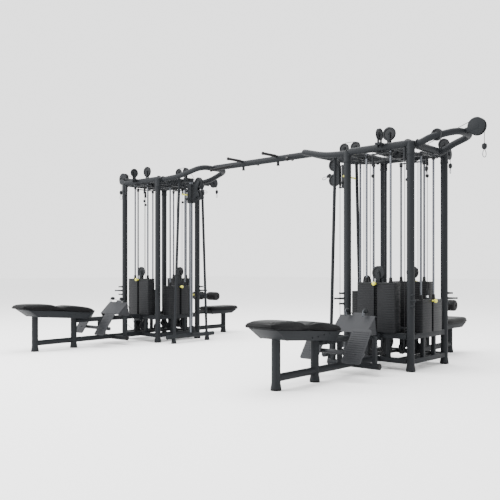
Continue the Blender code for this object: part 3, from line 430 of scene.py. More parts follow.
for side in SIDES:
    ring = bmesh.new()
    corners = [spot(side, out, back, RING_UP) for out, back in
               ((-HALF_WIDTH, 0.0), (HALF_WIDTH, 0.0), (HALF_WIDTH, DEPTH), (-HALF_WIDTH, DEPTH))]
    pipe(ring, curved(corners, 0.08, closed=True), RING_RADIUS, closed=True)
    for corner in corners:
        inward = Vector((corner.x - SIDES[side] * TOWER_X, corner.y - MIDDLE, 0)).normalized() * -0.012
        under = Vector((corner.x, corner.y, POST_TOP + 0.0003))
        lathe(ring, [(0, 0), (0.0415, 0), (0.043, 0.0015), (0.043, 0.020), (0.0405, 0.024), (0.0405, 0.085),
                     (0.034, 0.118), (0, 0.126)], Matrix.Translation(under))
        lathe(ring, [(0, -0.008), (0.043, -0.006), (0.046, 0.004), (0.043, 0.010), (0, 0.012)],
              Matrix.Translation(corner + inward + Vector((0, 0, -0.036))))
    for out in (-0.11, 0.11):
        bar(ring, spot(side, out, 0.0, RING_UP), spot(side, out, DEPTH, RING_UP), 0.020)
        for back in (0.038, DEPTH - 0.038):
            way = 1 if back < MIDDLE else -1
            lathe(ring, [(0, -0.006), (0.026, -0.004), (0.022, 0.006), (0, 0.008)],
                  aimed(spot(side, out, back, RING_UP), spot(side, out, back + way, RING_UP)), 24)
    reach = HALF_WIDTH + BRACE_REACH + 0.0385
    bar(ring, spot(side, -HALF_WIDTH, MIDDLE, RING_UP), spot(side, -reach, MIDDLE, RING_UP), 0.026, 0.004)
    finished(f"{side}_top_ring", ring, charcoal, "frame", [f"{side}_top_frame"])

# Guide rods: pairs of polished 23 mm bars on which each stack slides, tied under the ring by flat straps.
# Each rod stands on the platform and carries a black nylon collar at the top.
ROD_RADIUS = 0.0115
ROD_SPREAD = 0.14
ROD_TOP = 2.205
STACK_WIDTH = 0.44
STACK_DEPTH = 0.12
PLATE = 0.0252
STACK_LOW = PLATFORM_UP + 0.0003
FACINGS = {"row": (0, -1), "lat": (0, 1), "end": (1, 0), "cross": (-1, 0)}
PLATE_COUNTS = {"row": 20, "lat": 20, "end": 13, "cross": 16}
REACHES = {"row": 0.364, "lat": 0.364, "end": 0.357, "cross": 0.357}


def station(side, kind):
    """Local frame of one stack: x along it, -y the way it faces, the origin under its middle."""
    across, back = FACINGS[kind]
    faces = Vector((across * SIDES[side], back))
    centre = spot(side, 0, MIDDLE, 0) + Vector((faces.x, faces.y, 0)) * REACHES[kind]
    return Matrix.Translation(centre) @ Matrix.Rotation(math.atan2(faces.x, -faces.y), 4, "Z")


chrome = coated("polished chrome", (0.085, 0.090, 0.100), 0.30, 1.0, tone=0.06, drift=0.05, size=60.0,
                depth=0.0, shine=0.5)

for side in SIDES:
    rods = bmesh.new()
    ties = bmesh.new()
    collars = bmesh.new()
    for kind in FACINGS:
        place = station(side, kind)
        for spread in (-ROD_SPREAD, ROD_SPREAD):
            foot = place @ Vector((spread, 0, PLATFORM_UP + 0.0003))
            bar(rods, foot, (foot.x, foot.y, ROD_TOP), ROD_RADIUS, 0.001, 24)
            lathe(collars, [(0.0118, 0), (0.0185, 0.001), (0.0190, 0.004), (0.0190, 0.022), (0.0175, 0.025),
                            (0.0118, 0.025), (0.0118, 0)], Matrix.Translation((foot.x, foot.y, 2.155)), 24)
        slab(ties, (-ROD_SPREAD - 0.02, -0.02, ROD_TOP - 0.02), (ROD_SPREAD + 0.02, 0.02, ROD_TOP - 0.01),
             0.0015, place)
    for start, end in ((spot(side, -0.02, MIDDLE - 0.364, ROD_TOP - 0.0195),
                        spot(side, 0.02, MIDDLE + 0.364, ROD_TOP - 0.0105)),
                       (spot(side, -0.357, MIDDLE - 0.02, ROD_TOP - 0.019),
                        spot(side, 0.357, MIDDLE + 0.02, ROD_TOP - 0.011))):
        slab(ties, start, end, 0.001)
    finished(f"{side}_guide_rod_set", rods, chrome, "frame", [f"{side}_guide_rods"])
    finished(f"{side}_rod_ties", ties, charcoal, "frame")
    finished(f"{side}_rod_collars", collars, nylon, "frame")

# Weight stacks: cast plates with a chamfered rim, drilled for the rods and slotted at the front for the
# selector pin. The plates that stay down are one piece and the picked top plate is another.


def repeat_tree():
    """Geometry Nodes tree that repeats the object's own mesh along a line of evenly spaced places."""
    tree = bpy.data.node_groups.new("repeat along a line", "GeometryNodeTree")
    faces = tree.interface
    sockets = {}
    for label, kind in (("Geometry", "NodeSocketGeometry"), ("Count", "NodeSocketInt"),
                        ("First", "NodeSocketVector"), ("Step", "NodeSocketVector"),
                        ("Finish", "NodeSocketMaterial")):
        sockets[label] = faces.new_socket(name=label, in_out="INPUT", socket_type=kind).identifier
    faces.new_socket(name="Geometry", in_out="OUTPUT", socket_type="NodeSocketGeometry")
    nodes = tree.nodes
    given, result = nodes.new("NodeGroupInput"), nodes.new("NodeGroupOutput")
    line = nodes.new("GeometryNodeMeshLine")
    line.mode = "OFFSET"
    copies, real = nodes.new("GeometryNodeInstanceOnPoints"), nodes.new("GeometryNodeRealizeInstances")
    painted = nodes.new("GeometryNodeSetMaterial")
    wire(tree, (given, "Count", line, "Count"), (given, "First", line, "Start Location"),
         (given, "Step", line, "Offset"), (line, "Mesh", copies, "Points"),
         (given, "Geometry", copies, "Instance"), (copies, "Instances", real, "Geometry"),
         (real, "Geometry", painted, "Geometry"), (given, "Finish", painted, "Material"),
         (painted, "Geometry", result, "Geometry"))
    return tree, sockets


repeat, repeat_inputs = repeat_tree()


def repeated(bm, count, first, step, material, place=Matrix()):
    """Mesh of a bmesh pattern repeated by the tree, then carried to its place."""
    bmesh.ops.recalc_face_normals(bm, faces=bm.faces)
    mesh = bpy.data.meshes.new("pattern")
    bm.to_mesh(mesh)
    bm.free()
    holder = bpy.data.objects.new("pattern", mesh)
    scene.collection.objects.link(holder)
    rows = holder.modifiers.new("rows", "NODES")
    rows.node_group = repeat
    for label, value in (("Count", count), ("First", first), ("Step", step), ("Finish", material)):
        rows[repeat_inputs[label]] = value
    graph = bpy.context.evaluated_depsgraph_get()
    result = bpy.data.meshes.new_from_object(holder.evaluated_get(graph))
    bpy.data.objects.remove(holder)
    result.transform(place)
    return result


def plate_outline(width, depth, slot_width, slot_depth, corner=0.010):
    """Plan of one weight plate: rounded corners and a notch in the middle of the front edge."""
    x, y, c = width / 2, depth / 2, corner
    s = slot_width / 2
    return [(-x, -y + c), (-x + c * 0.3, -y + c * 0.3), (-x + c, -y), (-s, -y),
            (-s + 0.002, -y + slot_depth), (s - 0.002, -y + slot_depth), (s, -y), (x - c, -y),
            (x - c * 0.3, -y + c * 0.3), (x, -y + c), (x, y - c), (x - c * 0.3, y - c * 0.3), (x - c, y),
            (-x + c, y), (-x + c * 0.3, y - c * 0.3), (-x, y - c)]


cast_black = coated("cast plate enamel", (0.0070, 0.0075, 0.0085), 0.50, tone=0.30, drift=0.12, size=260.0,
                    depth=0.06)

for side in SIDES:
    for kind, count in PLATE_COUNTS.items():
        place = station(side, kind)
        one = bmesh.new()
        plate(one, plate_outline(STACK_WIDTH, STACK_DEPTH, 0.040, 0.022), 0.0, PLATE - 0.0006, edge=0.0006)
        boss = Matrix.Translation((0, -STACK_DEPTH / 2 + 0.020, 0.0115))
        boss = boss @ Matrix.Rotation(math.pi / 2, 4, "X")
        lathe(one, [(0, 0.004), (0.0100, 0.004), (0.0100, 0.0052), (0.0075, 0.0052), (0.0075, 0.0040),
                    (0, 0.0040)], boss, 20)
        stack = repeated(one, count - 1, (0, 0, STACK_LOW + 0.0005), (0, 0, PLATE), cast_black, place)
        finished(f"{side}_{kind}_plates_standing", stack, cast_black, "frame",
                 [f"{side}_{kind}_stack"], 25.0)

# Lift heads: the picked top plate with its selector rod, rod bushes and yellow selector knob, and the
# pulley in a pair of coated cheeks that the cable pulls on. The end stack hangs from a steel stem.
LIFT_PULLEY_RADIUS = 0.070
LIFT_PULLEY_RISE = 0.098

yellow = coated("yellow selector knob", (0.52, 0.50, 0.06), 0.34, size=600.0, tone=0.10, depth=0.05,
                coat=0.3)

for side in SIDES:
    for kind, count in PLATE_COUNTS.items():
        place = station(side, kind)
        full = STACK_LOW + PLATE * count
        split = full - PLATE
        body = f"{side}_{kind}_plates"
        top_plate = bmesh.new()
        plate(top_plate, plate_outline(STACK_WIDTH, STACK_DEPTH, 0.040, 0.010), split + 0.0008,
              full - 0.0004, place, 0.0022)
        for spread in (-ROD_SPREAD, ROD_SPREAD):
            lathe(top_plate, [(0.0120, 0), (0.021, 0), (0.0215, 0.002), (0.0215, 0.008), (0.0175, 0.012),
                              (0.0165, 0.048), (0.0120, 0.050),
                              (0.0120, 0)], place @ Matrix.Translation((spread, 0, full - 0.0004)), 24)
        bar(top_plate, place @ Vector((0, 0, STACK_LOW + 0.025)), place @ Vector((0, 0, split + 0.012)),
            0.0125, sides=20)
        finished(f"{side}_{kind}_top_plate", top_plate, cast_black, body,
                 [f"{side}_{kind}_lift"])

        head = bmesh.new()
        trim = bmesh.new()
        if kind == "end":
            bar(trim, place @ Vector((0, 0, full - 0.001)), place @ Vector((0, 0, full + 0.050)), 0.0135,
                sides=24)
            lathe(head, [(0, 0), (0.019, 0), (0.019, 0.016), (0, 0.016)],
                  place @ Matrix.Translation((0, 0, full + 0.0005)), 6)
            lathe(head, [(0, 0), (0.0135, 0), (0.0145, 0.004), (0.0120, 0.055), (0.0075, 0.072),
                         (0, 0.072)], place @ Matrix.Translation((0, 0, full + 0.040)), 20)
        else:
            hub = place @ Vector((0, 0, full + LIFT_PULLEY_RISE))
            faces = place.to_3x3() @ Vector((0, 1, 0))
            wheel(head, hub, faces, LIFT_PULLEY_RADIUS, 0.024)
            outline = [(-0.028, 0.0), (0.028, 0.0), (0.026, 0.050), (0.017, LIFT_PULLEY_RISE + 0.012),
                       (0.008, LIFT_PULLEY_RISE + 0.020), (-0.008, LIFT_PULLEY_RISE + 0.020),
                       (-0.017, LIFT_PULLEY_RISE + 0.012), (-0.026, 0.050)]
            for y in (-0.0190, 0.0145):
                stand = place @ Matrix.Translation((0, y, full)) @ Matrix.Rotation(math.pi / 2, 4, "X")
                plate(trim, outline, -0.0045, 0.0, stand, 0.001)
            bar(head, hub - faces * 0.024, hub + faces * 0.024, 0.009, sides=6)
        finished(f"{side}_{kind}_lift_head", head, nylon, body)
        finished(f"{side}_{kind}_lift_cheeks", trim, charcoal if kind != "end" else steel, body)

        knob = bmesh.new()
        lathe(knob, [(0, 0.004), (0.0085, 0.004), (0.0085, 0.020), (0.0135, 0.026), (0.0195, 0.034),
                     (0.0195, 0.046), (0.0165, 0.053), (0.009, 0.057), (0, 0.058)],
              place @ Matrix.Translation((0, -STACK_DEPTH / 2 + 0.008, full - PLATE / 2))
              @ Matrix.Rotation(math.pi / 2, 4, "X"), 28)
        finished(f"{side}_{kind}_selector_knob", knob, yellow, body)

# Crossover station: a floor bar on two rubber feet, two slanted tubes up to the top and a chrome column.
# The carriage on the column has a pop pin and a yellow grab bar, and carries two swivelling pulleys.
CROSS_OUT = -(HALF_WIDTH + BRACE_REACH)
CARRIAGE_UP = 2.060
CARRIAGE_TALL = 0.26
COLUMN_RADIUS = 0.0275
SWIVEL_OUT = CROSS_OUT - 0.082
SWIVEL_UPS = (2.203, 2.030)
SWIVEL_WHEEL_OUT = SWIVEL_OUT - 0.075


def upright(side, out, back, up):
    """Matrix for a plate that stands across the machine: local x to the machine's middle, y up."""
    return (Matrix.Translation(spot(side, out, back, up))
            @ Matrix(((-SIDES[side], 0, 0, 0), (0, 0, 1, 0), (0, 1, 0, 0), (0, 0, 0, 1))))


for side in SIDES:
    brace = bmesh.new()
    feet = bmesh.new()
    bar(brace, spot(side, CROSS_OUT, MIDDLE - 0.440, 0.090), spot(side, CROSS_OUT, MIDDLE + 0.440, 0.090),
        0.029, 0.004)
    for way in (-1, 1):
        stand = Matrix.Translation(spot(side, CROSS_OUT, MIDDLE + way * 0.315, 0.0))
        lathe(feet, [(0, 0), (0.0350, 0), (0.0360, 0.002), (0.0360, 0.012), (0.034, 0.014), (0, 0.014)],
              stand)
        lathe(brace, [(0, 0.0142), (0.0345, 0.0142), (0.0345, 0.022), (0.0300, 0.040), (0.0280, 0.070),
                      (0, 0.080)], stand)
        low = spot(side, CROSS_OUT, MIDDLE + way * 0.305, 0.096)
        high = spot(side, CROSS_OUT, MIDDLE + way * 0.215, 2.255)
        bar(brace, low, high, 0.018, 0.003, 32)
        lathe(brace, [(0, -0.010), (0.024, -0.008), (0.020, 0.012), (0.018, 0.016), (0, 0.018)],
              aimed(low + (high - low) * 0.009, high), 32)
    lathe(brace, [(0, 0.0), (0.034, 0.0), (0.034, 0.004), (0.0285, 0.010), (0.0285, 0.020), (0, 0.022)],
          Matrix.Translation(spot(side, CROSS_OUT, MIDDLE, 0.112)))
    finished(f"{side}_brace_tubes", brace, charcoal, "frame", [f"{side}_cross_brace"])
    finished(f"{side}_brace_feet", feet, rubber, "frame")

    column = bmesh.new()
    bar(column, spot(side, CROSS_OUT, MIDDLE, 0.1193), spot(side, CROSS_OUT, MIDDLE, 2.2237),
        COLUMN_RADIUS, 0.001, 48)
    finished(f"{side}_chrome_column", column, chrome, "frame", [f"{side}_column"])

    carriage = bmesh.new()
    low, high = CARRIAGE_UP - CARRIAGE_TALL / 2, CARRIAGE_UP + CARRIAGE_TALL / 2
    wall, bore = 0.0375, 0.0295
    for inner, outer in (((-wall, -wall), (wall, -bore)), ((-wall, bore), (wall, wall)),
                         ((-wall, -bore), (-bore, bore)), ((bore, -bore), (wall, bore))):
        slab(carriage, spot(side, CROSS_OUT + inner[0], MIDDLE + inner[1], low + 0.001),
             spot(side, CROSS_OUT + outer[0], MIDDLE + outer[1], high - 0.001), 0.002)
    for ear in (high - 0.0123, low + 0.0003):
        slab(carriage, spot(side, SWIVEL_OUT - 0.012, MIDDLE - 0.012, ear),
             spot(side, CROSS_OUT - 0.034, MIDDLE + 0.012, ear + 0.012), 0.002)
    finished(f"{side}_carriage_sleeve", carriage, charcoal, f"{side}_carriage",
             [f"{side}_carriage"])

    bush = bmesh.new()
    for up in (low - 0.002, high - 0.006):
        lathe(bush, [(0.0288, 0), (0.0370, 0), (0.0375, 0.001), (0.0375, 0.007), (0.036, 0.008),
                     (0.0288, 0.008), (0.0288, 0)], Matrix.Translation(spot(side, CROSS_OUT, MIDDLE, up)))
    lathe(bush, [(0, 0), (0.0105, 0), (0.0105, 0.014), (0.0065, 0.017), (0.0065, 0.026), (0.0155, 0.032),
                 (0.0160, 0.050),
                 (0.012, 0.056), (0, 0.057)], aimed(spot(side, CROSS_OUT, MIDDLE - 0.037, 1.980),
                                                    spot(side, CROSS_OUT, MIDDLE - 1.0, 1.980)), 28)
    finished(f"{side}_carriage_bushes", bush, nylon, f"{side}_carriage")

    grab = bmesh.new()
    grab_out = CROSS_OUT + 0.043
    bar(grab, spot(side, grab_out, MIDDLE - 0.120, 2.045), spot(side, grab_out, MIDDLE + 0.120, 2.045),
        0.010, 0.003, 28)
    finished(f"{side}_carriage_grab", grab, yellow, f"{side}_carriage")

    fork = bmesh.new()
    bar(fork, spot(side, SWIVEL_OUT, MIDDLE, low + 0.0130), spot(side, SWIVEL_OUT, MIDDLE, high - 0.0130),
        0.0120, 0.001, 28)
    for way in (-1, 1):
        cheek = [(0.0, -0.095), (0.060, -0.052), (0.105, -0.046), (0.112, -0.030), (0.105, -0.012),
                 (0.078, 0.030), (0.078, 0.070), (0.105, 0.125), (0.112, 0.143), (0.105, 0.160),
                 (0.060, 0.160), (0.0, 0.105)]
        stand = upright(side, SWIVEL_OUT + 0.004, MIDDLE + way * 0.0200, CARRIAGE_UP)
        plate(fork, cheek, -0.002, 0.002, stand, 0.0008)
    for up in (-0.060, 0.060):
        slab(fork, spot(side, SWIVEL_OUT - 0.002, MIDDLE - 0.019, CARRIAGE_UP + up - 0.006),
             spot(side, SWIVEL_OUT - 0.026, MIDDLE + 0.019, CARRIAGE_UP + up + 0.006), 0.001)
    finished(f"{side}_swivel_fork", fork, charcoal, f"{side}_swivel",
             [f"{side}_swivel_pulleys"])
    wheels = bmesh.new()
    for up in SWIVEL_UPS:
        wheel(wheels, spot(side, SWIVEL_WHEEL_OUT, MIDDLE, up), (0, 1, 0), 0.072, 0.030)
    finished(f"{side}_swivel_wheels", wheels, nylon, f"{side}_swivel")

# End arm: a bent 68 mm tube bolted to the ring by two round flanges, holding the high pulley in a pair
# of round steel guards that keep the cable on it.
END_PULLEY_OUT = HALF_WIDTH + 0.512
END_PULLEY_UP = 2.404
ARM_START = HALF_WIDTH + RING_RADIUS + 0.0015


def disc(radius, count):
    return [(radius * math.cos(2 * math.pi * k / count), radius * math.sin(2 * math.pi * k / count))
            for k in range(count)]


def flange(bm, root, ahead, start=-0.0003):
    """Round flange at the root of a tube, facing ahead."""
    lathe(bm, [(0, start), (0.045, start), (0.046, 0.001), (0.046, 0.008), (0.044, 0.010), (0, 0.010)],
          aimed(root, root + Vector(ahead)))


for side in SIDES:
    arm = bmesh.new()
    nose_out, nose_up = HALF_WIDTH + 0.378, RING_UP + 0.115
    shoulder = ARM_START + 0.378 * 0.35
    path = []
    for way, root, nose in ((-1, 0.060, 0.244), (1, 0.598, 0.564)):
        limb = [(ARM_START, root, RING_UP), (ARM_START + 0.046, root, RING_UP + 0.0115),
                (shoulder, root + (MIDDLE - root) * 0.06, RING_UP + 0.0518), (nose_out, nose, nose_up)]
        points = [spot(side, *place) for place in limb]
        path += points if way < 0 else points[::-1]
        root_spot = spot(side, ARM_START, root, RING_UP)
        flange(arm, root_spot, (SIDES[side], 0, 0))
    pipe(arm, curved(path, 0.11), 0.034, 36)
    for way in (-1, 1):
        stand = upright(side, END_PULLEY_OUT, MIDDLE + way * 0.0255, END_PULLEY_UP)
        plate(arm, disc(0.088, 40), -0.002, 0.002, stand, 0.0008)
        plate(arm, [(-0.030, -0.026), (0.155, -0.066), (0.155, -0.016), (-0.030, 0.026)], -0.0035, 0.0035,
              stand, 0.001)
    for angle in (-0.9, 0.5, 1.9, 3.3):
        rim = spot(side, END_PULLEY_OUT + 0.0845 * math.cos(angle), MIDDLE,
                   END_PULLEY_UP + 0.0845 * math.sin(angle))
        bar(arm, rim - Vector((0, 0.026, 0)), rim + Vector((0, 0.026, 0)), 0.0030, sides=12)
    finished(f"{side}_end_arm_tube", arm, charcoal, "frame", [f"{side}_end_arm"])
    rim = bmesh.new()
    wheel(rim, spot(side, END_PULLEY_OUT, MIDDLE, END_PULLEY_UP), (0, 1, 0), 0.0795, 0.038, 56)
    finished(f"{side}_end_wheel", rim, nylon, f"{side}_end_pulley", [f"{side}_end_pulley"])

# Lat arm: one bent tube behind the ring with a cross tube, and a guarded pulley at each end of it.
LAT_ARM_BACK = DEPTH + 0.558
LAT_ARM_UP = RING_UP + 0.095

for side in SIDES:
    arm = bmesh.new()
    start = DEPTH + RING_RADIUS + 0.0015
    path = [spot(side, 0.0, start, RING_UP), spot(side, 0.0, start + 0.046, RING_UP + 0.005),
            spot(side, 0.0, DEPTH + 0.3348, LAT_ARM_UP), spot(side, 0.0, LAT_ARM_BACK + 0.034, LAT_ARM_UP)]
    pipe(arm, curved(path, 0.10), 0.034, 36)
    flange(arm, path[0], (0, 1, 0), 0.0)
    bar(arm, spot(side, -0.185, LAT_ARM_BACK, LAT_ARM_UP), spot(side, 0.185, LAT_ARM_BACK, LAT_ARM_UP),
        0.0238, 0.003)
    wheels = bmesh.new()
    for way in (-1, 1):
        hub = spot(side, way * 0.150, LAT_ARM_BACK, LAT_ARM_UP)
        wheel(wheels, hub, (1, 0, 0), 0.070, 0.032)
        for flank in (-0.0185, 0.0185):
            stand = Matrix.Translation(hub + Vector((flank, 0, 0))) @ Matrix.Rotation(math.pi / 2, 4, "Y")
            plate(arm, disc(0.074, 36), -0.0015, 0.0015, stand, 0.0006)
    finished(f"{side}_lat_arm_tube", arm, charcoal, "frame", [f"{side}_lat_arm"])
    finished(f"{side}_lat_wheels", wheels, nylon, "frame")

# Crossover beam: a straight pull-up tube between two bent loops flanged to the towers, with two parallel
# grips, two slanted wide grips and a short capped peg under each parallel grip. The grips are rubber sleeves.
BEAM_UP = 2.370
beam = bmesh.new()
grips = bmesh.new()
bar(beam, (-0.82, MIDDLE, BEAM_UP), (0.82, MIDDLE, BEAM_UP), 0.039, 0.006, 44)
for side, way in SIDES.items():
    path = []
    for sign in (-1, 1):
        wide = sign * (MIDDLE - 0.060)
        limb = [(ARM_START, wide, RING_UP), (ARM_START + 0.046, wide, RING_UP),
                (ARM_START + BRACE_REACH * 1.2, wide * 0.92, RING_UP + 0.112 * 0.16),
                (TOWER_X - 0.82, sign * 0.235, 2.362)]
        points = [spot(side, -out, MIDDLE + back, up) for out, back, up in limb]
        path += points if sign < 0 else points[::-1]
        root = spot(side, -ARM_START, MIDDLE + wide, RING_UP)
        flange(beam, root, (-way, 0, 0))
    pipe(beam, curved(path, 0.13), 0.034, 36)
    bar(beam, (way * 0.288, MIDDLE, BEAM_UP), (way * 0.288, MIDDLE, BEAM_UP - 0.072), 0.0165, 0.001, 28)
    lathe(grips, [(0, 0), (0.0175, 0), (0.0185, 0.003), (0.0185, 0.014), (0, 0.016)],
          Matrix.Translation((way * 0.288, MIDDLE, BEAM_UP - 0.0855)), 28)
    sleeve = [(0, 0), (0.015, 0.001), (0.0195, 0.005), (0.0205, 0.012), (0.0185, 0.024), (0.0168, 0.030)]
    for sign in (-1, 1):
        tip = Vector((way * 0.288, MIDDLE + sign * 0.300, BEAM_UP + 0.030))
        inner = Vector((way * 0.288, MIDDLE + sign * 0.035, BEAM_UP + 0.030))
        lathe(grips, sleeve + [(0.0168, 0.225), (0.0185, 0.229), (0.0185, 0.237), (0, 0.239)],
              aimed(tip, inner), 28)
        bar(beam, inner - Vector((0, sign * 0.035, 0)), inner + Vector((0, sign * 0.06, 0)), 0.0135,
            sides=24)
    root = Vector((way * 0.42, MIDDLE, BEAM_UP))
    tip = Vector((way * 0.64, MIDDLE - 0.26, BEAM_UP - 0.080))
    bar(beam, root, root + (tip - root) * 0.5, 0.0150, sides=24)
    length = (tip - root).length
    lathe(grips, sleeve + [(0.0168, length - 0.105), (0.0185, length - 0.100), (0.0185, length - 0.092),
                           (0, length - 0.090)], aimed(tip, root), 28)
finished("crossover_beam_tubes", beam, charcoal, "frame", ["crossover_beam"])
finished("pull_up_grips", grips, rubber, "frame")

# Row station: a low bench on two flared legs with rubber shoes, tied to the tower by a rail and a beam.
# A folded sheet pan carries the pad, and a T-shaped bar with uprights stands in front of the tower.
ROW_REACH = 1.895


def sloped(up, front):
    return up - 0.078 * (ROW_REACH - front)


def folded(bm, side, outline, half, edge=0.004, out=0.0):
    """Prism across a station from an outline of (back, up) points, centred on its tower or out from it."""
    stand = Matrix.Translation((SIDES[side] * TOWER_X + out, 0, 0))
    stand = stand @ Matrix(((0, 0, 1, 0), (1, 0, 0, 0), (0, 1, 0, 0), (0, 0, 0, 1)))
    plate(bm, outline, -half, half, stand, edge)


grey = coated("grey textured panel", (0.021, 0.022, 0.0245), 0.52, size=520.0, tone=0.12, depth=0.06)

for side in SIDES:
    bench = bmesh.new()
    shoes = bmesh.new()
    for front in (1.642, 1.095):
        leg(bench, shoes, spot(side, 0, -front, 0), sloped(0.444, front) + 0.019)
    bar(bench, spot(side, 0, -1.642, 0.103), spot(side, 0, -0.0253, 0.103), 0.033)
    bar(bench, spot(side, 0, -1.095, 0.350), spot(side, 0, -0.0503, 0.350), 0.031)
    slab(bench, spot(side, -0.05, -0.0603, 0.290), spot(side, 0.05, -0.0253, 0.3597), 0.002)
    bar(bench, spot(side, -0.286, -0.46, 0.090), spot(side, 0.286, -0.46, 0.090), 0.0297)
    for out in (-0.235, 0.235):
        slab(bench, spot(side, out - 0.020, -0.480, 0.095), spot(side, out + 0.020, -0.440, 0.375), 0.004)
    slab(bench, spot(side, -0.250, -0.473, 0.335), spot(side, 0.250, -0.447, 0.365), 0.003)
    bar(bench, spot(side, 0, -0.70, 0.103), spot(side, 0, -0.70, 0.350), 0.0264)
    finished(f"{side}_bench_tubes", bench, charcoal, "frame", [f"{side}_row_frame"])
    caps = bmesh.new()
    for way in (-1, 1):
        tip = spot(side, way * 0.284, -0.46, 0.090)
        lathe(caps, [(0, 0), (0.0302, 0), (0.0302, 0.006), (0.027, 0.010), (0, 0.011)],
              aimed(tip, tip + Vector((way * SIDES[side], 0, 0))), 32)
    for part, item in (("caps", caps), ("shoes", shoes)):
        finished(f"{side}_bench_{part}", item, rubber, "frame")

    pan = bmesh.new()
    outline = [(1.815, 0.527), (1.675, 0.444), (0.980, 0.444), (0.900, 0.527)]
    points = [(-front, sloped(up, front)) for front, up in outline]
    for sheet_out in (-0.1485, 0.1485):
        folded(pan, side, points, 0.0015, 0.0008, SIDES[side] * sheet_out)
    for start, end in zip(points, points[1:] + points[:1]):
        run = Vector((end[0] - start[0], end[1] - start[1]))
        turn = Vector((-run.y, run.x)).normalized() * 0.003
        strip = [start, end, (end[0] + turn.x, end[1] + turn.y), (start[0] + turn.x, start[1] + turn.y)]
        folded(pan, side, strip, 0.1495, 0.0008)
    low_front = points[1]
    for way in (-1, 1):
        bolt = bmesh.new()
        lathe(bolt, [(0, -0.002), (0.0085, -0.002), (0.0085, 0.0015), (0.0065, 0.0015), (0.0062, 0.0060),
                     (0, 0.0062)], Matrix.Rotation(math.pi / 2, 4, "Y"), 6)
        turn = Matrix.Translation(spot(side, way * 0.150, -1.330, sloped(0.466, 1.330)))
        turn = turn @ Matrix.Rotation(0 if way * SIDES[side] > 0 else math.pi, 4, "Z")
        step = 0.085 if way * SIDES[side] > 0 else -0.085
        pan.from_mesh(repeated(bolt, 4, (0, 0, 0), (0, step, 0.078 * 0.085), charcoal, turn))
    for way in (-1, 1):
        slab(pan, spot(side, way * 0.132, low_front[0], low_front[1] - 0.002),
             spot(side, way * 0.150, low_front[0] + 0.01, low_front[1] + 0.003), 0.001)
    finished(f"{side}_bench_pan", pan, charcoal, "frame")

    plates = bmesh.new()
    bar(plates, spot(side, -0.295, -0.7497, 0.236), spot(side, 0.295, -0.7497, 0.236), 0.023, 0.003)
    ribs = []
    for way in (-1, 1):
        low, high = Vector((-0.885, 0.165)), Vector((-0.680, 0.460))
        run = (high - low).normalized()
        back = Vector((run.y, -run.x))
        centre = (low + high) / 2 + back * 0.006
        middle = spot(side, way * 0.234, centre.x, centre.y)
        stand = Matrix.Translation(middle) @ Matrix(((SIDES[side] * way, 0, 0, 0), (0, run.x, -back.x, 0),
                                                     (0, run.y, -back.y, 0), (0, 0, 0, 1)))
        x, y, c = 0.102, (high - low).length / 2, 0.022
        corner = [(x - c + c * math.cos(math.pi / 12 * k), y - c + c * math.sin(math.pi / 12 * k))
                  for k in range(7)]
        outline = corner + [(-a, b) for a, b in corner[::-1]]
        outline += [(-a, -b) for a, b in outline]
        plate(plates, outline, -0.0060, 0.0035, stand, 0.002)
        slab(plates, spot(side, way * 0.234 - 0.018, -0.7497, 0.222),
             spot(side, way * 0.234 + 0.018, -0.838, 0.250), 0.002)
        rib = bmesh.new()
        slab(rib, (-x + 0.013, -0.0055, 0.0030), (x - 0.013, 0.0055, 0.0064), 0.0016)
        ribs.append(repeated(rib, 14, (0, -y + 0.032, 0), (0, (2 * y - 0.064) / 13, 0), grey, stand))
    for mesh in ribs:
        plates.from_mesh(mesh)
    finished(f"{side}_footplate_pair", plates, grey, "frame", [f"{side}_footplates"], 25.0)

    cover = bmesh.new()
    low, high = Vector((-0.545, 0.408)), Vector((-0.385, 0.560))
    run = (high - low).normalized()
    back = Vector((run.y, -run.x))
    sheet = [low, high, high + back * 0.003, low + back * 0.003]
    folded(cover, side, [tuple(point) for point in sheet], 0.1995, 0.0012)
    sheet = [high - run * 0.004, high + Vector((0.030, -0.010)), high + Vector((0.030, -0.013)),
             high - run * 0.004 + back * 0.006]
    folded(cover, side, [tuple(point) for point in sheet], 0.1995, 0.0010)
    tab = [high - run * 0.002, high + run * 0.034, high + run * 0.034 + back * 0.003,
           high - run * 0.002 + back * 0.003]
    folded(cover, side, [tuple(point) for point in tab], 0.062, 0.0012)
    wall = [(-0.541, 0.408), (-0.385, 0.556), (-0.355, 0.378), (-0.525, 0.378)]
    for way in (-1, 1):
        folded(cover, side, wall, 0.0015, 0.0008, way * 0.192)
    finished(f"{side}_row_cable_cover", cover, grey, "frame", [f"{side}_row_cover"])

# Row pad: moulded foam on a plywood board under black vinyl, waisted in the middle, humped on both sides
# of a shallow dimple. The cover is blown up off its shape by cloth pressure, and the piping is sewn after.
PAD_NEAR = 0.860
PAD_HALF = 0.170
PAD_THICK = 0.078


def hide_material():
    """Black upholstery vinyl with a fine pebbled hide grain and a soft sheen."""
    material = coated("black vinyl", (0.0040, 0.0040, 0.0045), 0.50, size=700.0, tone=0.20, depth=0.05,
                      shine=0.07)
    nodes = material.node_tree.nodes
    place = nodes.new("ShaderNodeTexCoord")
    pebbles = nodes.new("ShaderNodeTexVoronoi")
    relief = nodes.new("ShaderNodeBump")
    pebbles.feature = "DISTANCE_TO_EDGE"
    pebbles.inputs["Scale"].default_value = 620.0
    relief.inputs["Strength"].default_value = 0.15
    relief.inputs["Distance"].default_value = 0.0006
    wire(material.node_tree, (place, "Object", pebbles, "Vector"), (pebbles, "Distance", relief, "Height"),
         (relief, "Normal", nodes["Principled BSDF"], "Normal"))
    return material


vinyl = hide_material()


